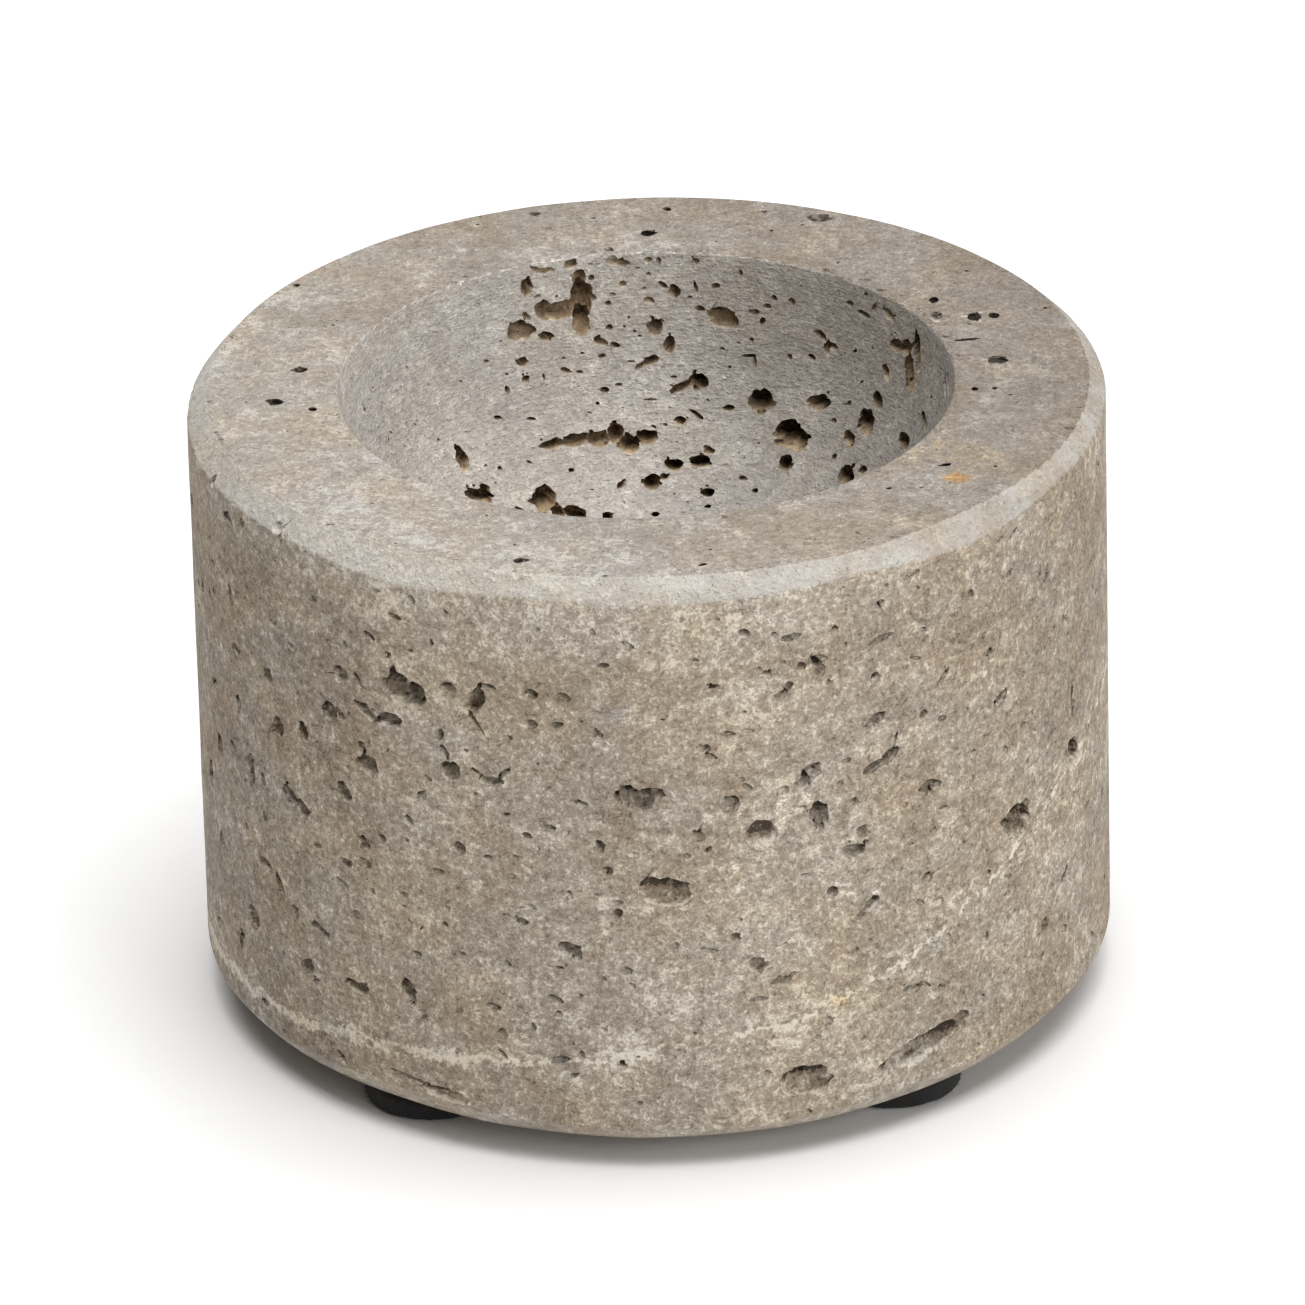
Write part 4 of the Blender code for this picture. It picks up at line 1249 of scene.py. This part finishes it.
class MortarStageSettings(PropertyGroup):
    floor_tone: tone("Floor", "Colour of the floor", (0.94, 0.94, 0.94))
    floor_size: length("Floor size", "Side of the square floor", 12.0, 50)
    sky: FloatProperty(
        name="Sky", description="Strength of the even light from all round", default=0.10, min=0
    )
    key: FloatProperty(
        name="Key", description="Watts of the light at the front right", default=7.6, min=0
    )
    top: FloatProperty(name="Top", description="Watts of the large light overhead", default=25.5, min=0)
    lens: FloatProperty(name="Lens", description="Focal length in mm", default=378.0, min=10)
    distance: length("Camera distance", "From the camera to what it looks at", 1.503, 20)
    elevation: FloatProperty(
        name="Elevation", description="Camera angle above the level",
        default=math.radians(26.59), subtype="ANGLE",
    )
    roll: FloatProperty(
        name="Roll", description="Turn of the camera about its own axis", default=math.radians(-1.43),
        subtype="ANGLE",
    )
    target_height: length("Target height", "Height of the point that the camera looks at", 37.05 * MM, 1)


# ---------------------------------------------------------------------------------------------------
# Operators
# ---------------------------------------------------------------------------------------------------


class MORTAR_OT_stone(Operator):
    """Carve the stone: the turned block less its named voids, scattered pores and edge chips"""

    bl_idname = "mortar.stone"
    bl_label = "Carve the stone"

    def execute(self, context):
        settings = context.scene.mortar_stone
        sizes = stone_sizes()
        block = object_of("stone", mesh_of("block", *stone_block(sizes, settings)))
        for name, domain, count in CARRIED:
            store(block.data, name, domain, np.zeros(len(getattr(block.data, count))))
        named = joined([
            named_lobes(sizes, "wall", WALL_VOIDS, 5),
            named_lobes(sizes, "bowl", BOWL_VOIDS, 6),
            named_lobes(sizes, "rim", RIM_VOIDS, 7),
        ])
        scattered = scattered_lobes(sizes, settings, named)
        whole = joined([named, scattered, edge_chips(sizes, settings)])
        raw = carved(block, whole)
        points, triangles, owners = mesh_arrays(raw)
        points = np.column_stack([points, fetch(raw, "rise"), fetch(raw, "crust")])
        points, triangles, owners = largest_body(*without_shared_diagonals(points, triangles, owners))
        points, rise, crust = points[:, :3], points[:, 3], points[:, 4]
        mesh = mesh_of("stone", points, triangles)
        store(mesh, "rise", "POINT", rise)
        store(mesh, "crust", "POINT", crust)
        store(mesh, "pore", "FACE", fetch(raw, "pore")[owners])
        block.data = mesh
        mesh.shade_smooth()
        mesh.set_sharp_from_angle(angle=math.radians(38))
        depth, _ = depth_below(sizes, points, settings)
        store(mesh, "depth", "POINT", np.maximum(0, depth - settings.surface_wear))
        _, skin = depth_below(sizes, points[triangles].mean(axis=1), settings)
        store(mesh, "bowl", "FACE", skin == 3)
        store(mesh, "rim", "FACE", skin == 1)
        store(mesh, "chamfer", "FACE", (skin == 4) + 0.4 * (skin == 5))
        mesh.materials.append(travertine(settings, sizes))
        finish_piece(block, "travertine", STONE_NODE)
        return {"FINISHED"}


def node_box(name, rise, growth):
    """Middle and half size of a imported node's box, its base raised by rise and its top by growth."""
    low, high = (np.array(corner, float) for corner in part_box(name))
    low[2] += rise
    high[2] += growth
    return (low + high) / 2, (high - low) / 2


def disc_surface(turns, ring_count, side_count, middle, half, round_edge):
    """A closed disc with rounded edges: rings out over the top, down the side and in under the base.

    The side's corners are quarter circles, and each ring is turned about the disc's axis.
    """
    flat = np.linspace(0, 1, ring_count + 1)[1:] * (half[0] - round_edge)
    bend = np.linspace(0, math.pi / 2, side_count + 1)[1:]
    top = half[2] - round_edge
    out = [flat, half[0] - round_edge + round_edge * np.sin(bend)]
    height = [flat * 0 + half[2], top + round_edge * np.cos(bend)]
    if top > 0:
        steps = np.linspace(top, -top, 3)[1:]
        out.append(steps * 0 + half[0])
        height.append(steps)
    out.append(half[0] - round_edge + round_edge * np.cos(bend))
    height.append(-top - round_edge * np.sin(bend))
    out.append(flat[::-1][1:])
    height.append(flat[1:] * 0 - half[2])
    out, height = np.concatenate(out)[:, None], np.concatenate(height)[:, None]
    turn = 2 * np.pi * np.arange(turns) / turns
    ring = np.stack([out * np.cos(turn), out * np.sin(turn), height + 0 * turn], axis=-1)
    points = np.concatenate([[[0, 0, half[2]]], ring.reshape(-1, 3), [[0, 0, -half[2]]]])
    return points + middle, ball_triangles(turns, len(ring) + 1)


def point_normals(points, triangles):
    """Unit normals at the points: the sum of the crossed edges of the triangles round each."""
    crossed = np.cross(
        points[triangles[:, 1]] - points[triangles[:, 0]],
        points[triangles[:, 2]] - points[triangles[:, 0]],
    )
    normals = np.zeros_like(points)
    for corner in range(3):
        np.add.at(normals, triangles[:, corner], crossed)
    return normals / np.maximum(np.linalg.norm(normals, axis=1, keepdims=True), 1e-20)


def felt_fibres(middle, half, settings, seed):
    """Loose fibres of a felt disc: thin three-sided spindles that leave its edge, bend over and lie back.

    Point on a fibre = root + out * length * t + sideways * bend * t^2, and its radius falls to a fifth
    of its start by the tip. Both ends are closed.
    """
    draws = np.random.default_rng(seed)
    count, steps = settings.fibres, 5
    turn = draws.uniform(-math.pi, math.pi, count)
    level = draws.uniform(-0.85, 0.9, count)
    out = np.stack([np.cos(turn), np.sin(turn), 0 * turn], axis=-1)
    root = middle + out * (half[0] - 0.15 * MM) + np.array([0, 0, 1.0]) * (level * half[2])[:, None]
    way = out + draws.normal(0, 0.8, (count, 3))
    way = way / np.linalg.norm(way, axis=1, keepdims=True)
    bend = np.cross(way, draws.normal(0, 1, (count, 3)))
    reach = draws.uniform(0.15, 0.5, count)[:, None, None] * MM
    t = np.linspace(0, 1, steps)[None, :, None]
    path = root[:, None] + way[:, None] * reach * t + bend[:, None] * reach * 0.6 * t * t
    path[..., 2] = np.clip(path[..., 2], 0.03 * MM, middle[2] + half[2])
    side = np.cross(way, np.array([0.3, 0.5, 0.81]))
    side = side / np.linalg.norm(side, axis=1, keepdims=True)
    other = np.cross(way, side)
    thick = draws.uniform(0.012, 0.024, count)[:, None, None] * MM * (1 - 0.8 * t)
    corner = 2 * np.pi * np.arange(3) / 3
    ring = side[:, None, None] * np.cos(corner)[:, None] + other[:, None, None] * np.sin(corner)[:, None]
    skin = path[:, :, None] + ring * thick[..., None]
    whole = np.concatenate([path[:, :1], skin.reshape(count, -1, 3), path[:, -1:]], axis=1)
    each = ball_triangles(3, steps + 1)[:, ::-1]
    index = np.arange(count)[:, None, None] * whole.shape[1] + each[None]
    return whole.reshape(-1, 3), index.reshape(-1, 3)


class MORTAR_OT_pads(Operator):
    """Make the four felt pads: round-edged discs with a matted surface and loose fibres"""

    bl_idname = "mortar.pads"
    bl_label = "Make the felt pads"

    def execute(self, context):
        settings = context.scene.mortar_pads
        wool = felt(settings)
        for seed, place in enumerate(PLACES):
            middle, half = node_box(f"felt_pad_{place}", 0.0, LAYER_GAP)
            points, triangles = disc_surface(96, 10, 4, middle, half, 0.7 * MM)
            normals = point_normals(points, triangles)
            matted = 0.7 * rough_noise(points / (0.9 * MM), 3, 60 + seed)
            matted += 0.3 * rough_noise(points / (4 * MM), 2, 70)
            points = points + normals * ((matted - 0.6) * settings.fuzz_height)[:, None]
            points[:, 2] = np.clip(points[:, 2], 0.0, middle[2] + half[2])
            loose, more = felt_fibres(middle, half, settings, 80 + seed)
            triangles = np.concatenate([triangles, more + len(points)])
            mesh = mesh_of("felt_pad", np.concatenate([points, loose]), triangles)
            mesh.shade_smooth()
            mesh.materials.append(wool)
            pad = object_of(f"pad_{place}", mesh)
            finish_piece(pad, "black_felt", f"felt_pad_{place}")
        return {"FINISHED"}


class MORTAR_OT_adhesive(Operator):
    """Make the four films of adhesive between the pads and the stone"""

    bl_idname = "mortar.adhesive"
    bl_label = "Make the adhesive"

    def execute(self, context):
        settings = context.scene.mortar_pads
        film = adhesive(settings)
        for seed, place in enumerate(PLACES):
            middle, half = node_box(f"adhesive_disc_{place}", SLIVER, LAYER_GAP - SLIVER)
            points, triangles = disc_surface(96, 8, 3, middle, half, 0.08 * MM)
            out = points - middle
            turn = np.arctan2(out[:, 1], out[:, 0])
            share = np.hypot(out[:, 0], out[:, 1]) / half[0]
            squeeze = 1 - 0.012 * (1 + round_noise(turn, 20, 90 + seed)) * share
            points[:, :2] = middle[:2] + out[:, :2] * squeeze[:, None]
            mesh = mesh_of("adhesive", points, triangles)
            mesh.shade_smooth()
            mesh.materials.append(film)
            finish_piece(object_of(f"adhesive_{place}", mesh), "adhesive", f"adhesive_disc_{place}")
        return {"FINISHED"}


def area_light(name, place, towards, across, strength, colour=(1, 1, 1)):
    """A square soft light of this width, facing a point."""
    lamp = bpy.data.lights.new(name, "AREA")
    lamp.shape = "SQUARE"
    lamp.size = across
    lamp.energy = strength
    lamp.color = colour
    made = bpy.data.objects.new(name, lamp)
    made.location = place
    made.rotation_mode = "QUATERNION"
    made.rotation_quaternion = (Vector(towards) - Vector(place)).to_track_quat("-Z", "Y")
    bpy.context.scene.collection.objects.link(made)
    return made


class MORTAR_OT_stage(Operator):
    """Lay the pale floor, set the soft lights and place the camera"""

    bl_idname = "mortar.stage"
    bl_label = "Set the stage"

    def execute(self, context):
        scene, settings = context.scene, context.scene.mortar_stage
        half = settings.floor_size / 2
        corners = np.array([(-half, -half, 0), (half, -half, 0), (half, half, 0), (-half, half, 0)])
        floor = object_of("floor", mesh_of("floor", corners, np.array([(0, 1, 2), (0, 2, 3)])))
        floor.data.materials.append(studio_floor(settings))
        world = bpy.data.worlds.new("studio")
        world.use_nodes = True
        tree = world.node_tree
        seen = tree.nodes.new("ShaderNodeLightPath").outputs["Is Camera Ray"]
        strength = tree.nodes.new("ShaderNodeMapRange")
        tree.links.new(seen, strength.inputs["Value"])
        strength.inputs["To Min"].default_value = settings.sky
        strength.inputs["To Max"].default_value = 1.0
        sky = tree.nodes["Background"].inputs
        sky["Color"].default_value = (1, 1, 1, 1)
        tree.links.new(strength.outputs["Result"], sky["Strength"])
        scene.world = world
        middle = (0, 0, settings.target_height)
        area_light("key", (0.87, -0.89, 0.46), middle, 0.9, settings.key)
        area_light("top", (0.06, 0.06, 1.27), middle, 1.3, settings.top)
        scene.view_settings.view_transform = "Standard"
        camera = bpy.data.cameras.new("camera")
        camera.lens = settings.lens
        camera.sensor_width = 36
        camera.clip_start = 0.05
        camera.clip_end = 100
        back = Vector((0, -math.cos(settings.elevation), math.sin(settings.elevation)))
        up = Vector((1, 0, 0)).cross(-back)
        turned = Matrix.Rotation(settings.roll, 3, back)
        right, up = turned @ Vector((1, 0, 0)), turned @ up
        made = bpy.data.objects.new("camera", camera)
        pose = Matrix((right, up, back)).transposed().to_4x4()
        pose.translation = Vector(middle) + back * settings.distance
        made.matrix_world = pose
        scene.collection.objects.link(made)
        scene.camera = made
        return {"FINISHED"}


class MORTAR_PT_panel(Panel):
    """The mortar bowl's steps and settings"""

    bl_label = "Mortar bowl"
    bl_idname = "MORTAR_PT_panel"
    bl_space_type = "VIEW_3D"
    bl_region_type = "UI"
    bl_category = "Mortar bowl"

    def draw(self, context):
        for operator in OPERATORS:
            self.layout.operator(operator.bl_idname)
        for name in SETTINGS:
            box = self.layout.box()
            for field in getattr(context.scene, name).bl_rna.properties.keys():
                if field not in ("rna_type", "name"):
                    box.prop(getattr(context.scene, name), field)


OPERATORS = (MORTAR_OT_stage, MORTAR_OT_stone, MORTAR_OT_pads, MORTAR_OT_adhesive)
SETTINGS = {
    "mortar_stone": MortarStoneSettings,
    "mortar_pads": MortarPadSettings,
    "mortar_stage": MortarStageSettings,
}


def register():
    for group in SETTINGS.values():
        bpy.utils.register_class(group)
    for name, group in SETTINGS.items():
        setattr(bpy.types.Scene, name, PointerProperty(type=group))
    for operator in OPERATORS:
        bpy.utils.register_class(operator)
    bpy.utils.register_class(MORTAR_PT_panel)


def unregister():
    bpy.utils.unregister_class(MORTAR_PT_panel)
    for operator in OPERATORS:
        bpy.utils.unregister_class(operator)
    for name, group in SETTINGS.items():
        delattr(bpy.types.Scene, name)
        bpy.utils.unregister_class(group)


def main():
    register()
    for run in (bpy.ops.mortar.stage, bpy.ops.mortar.stone, bpy.ops.mortar.pads, bpy.ops.mortar.adhesive):
        run()


if __name__ == "__main__":
    main()
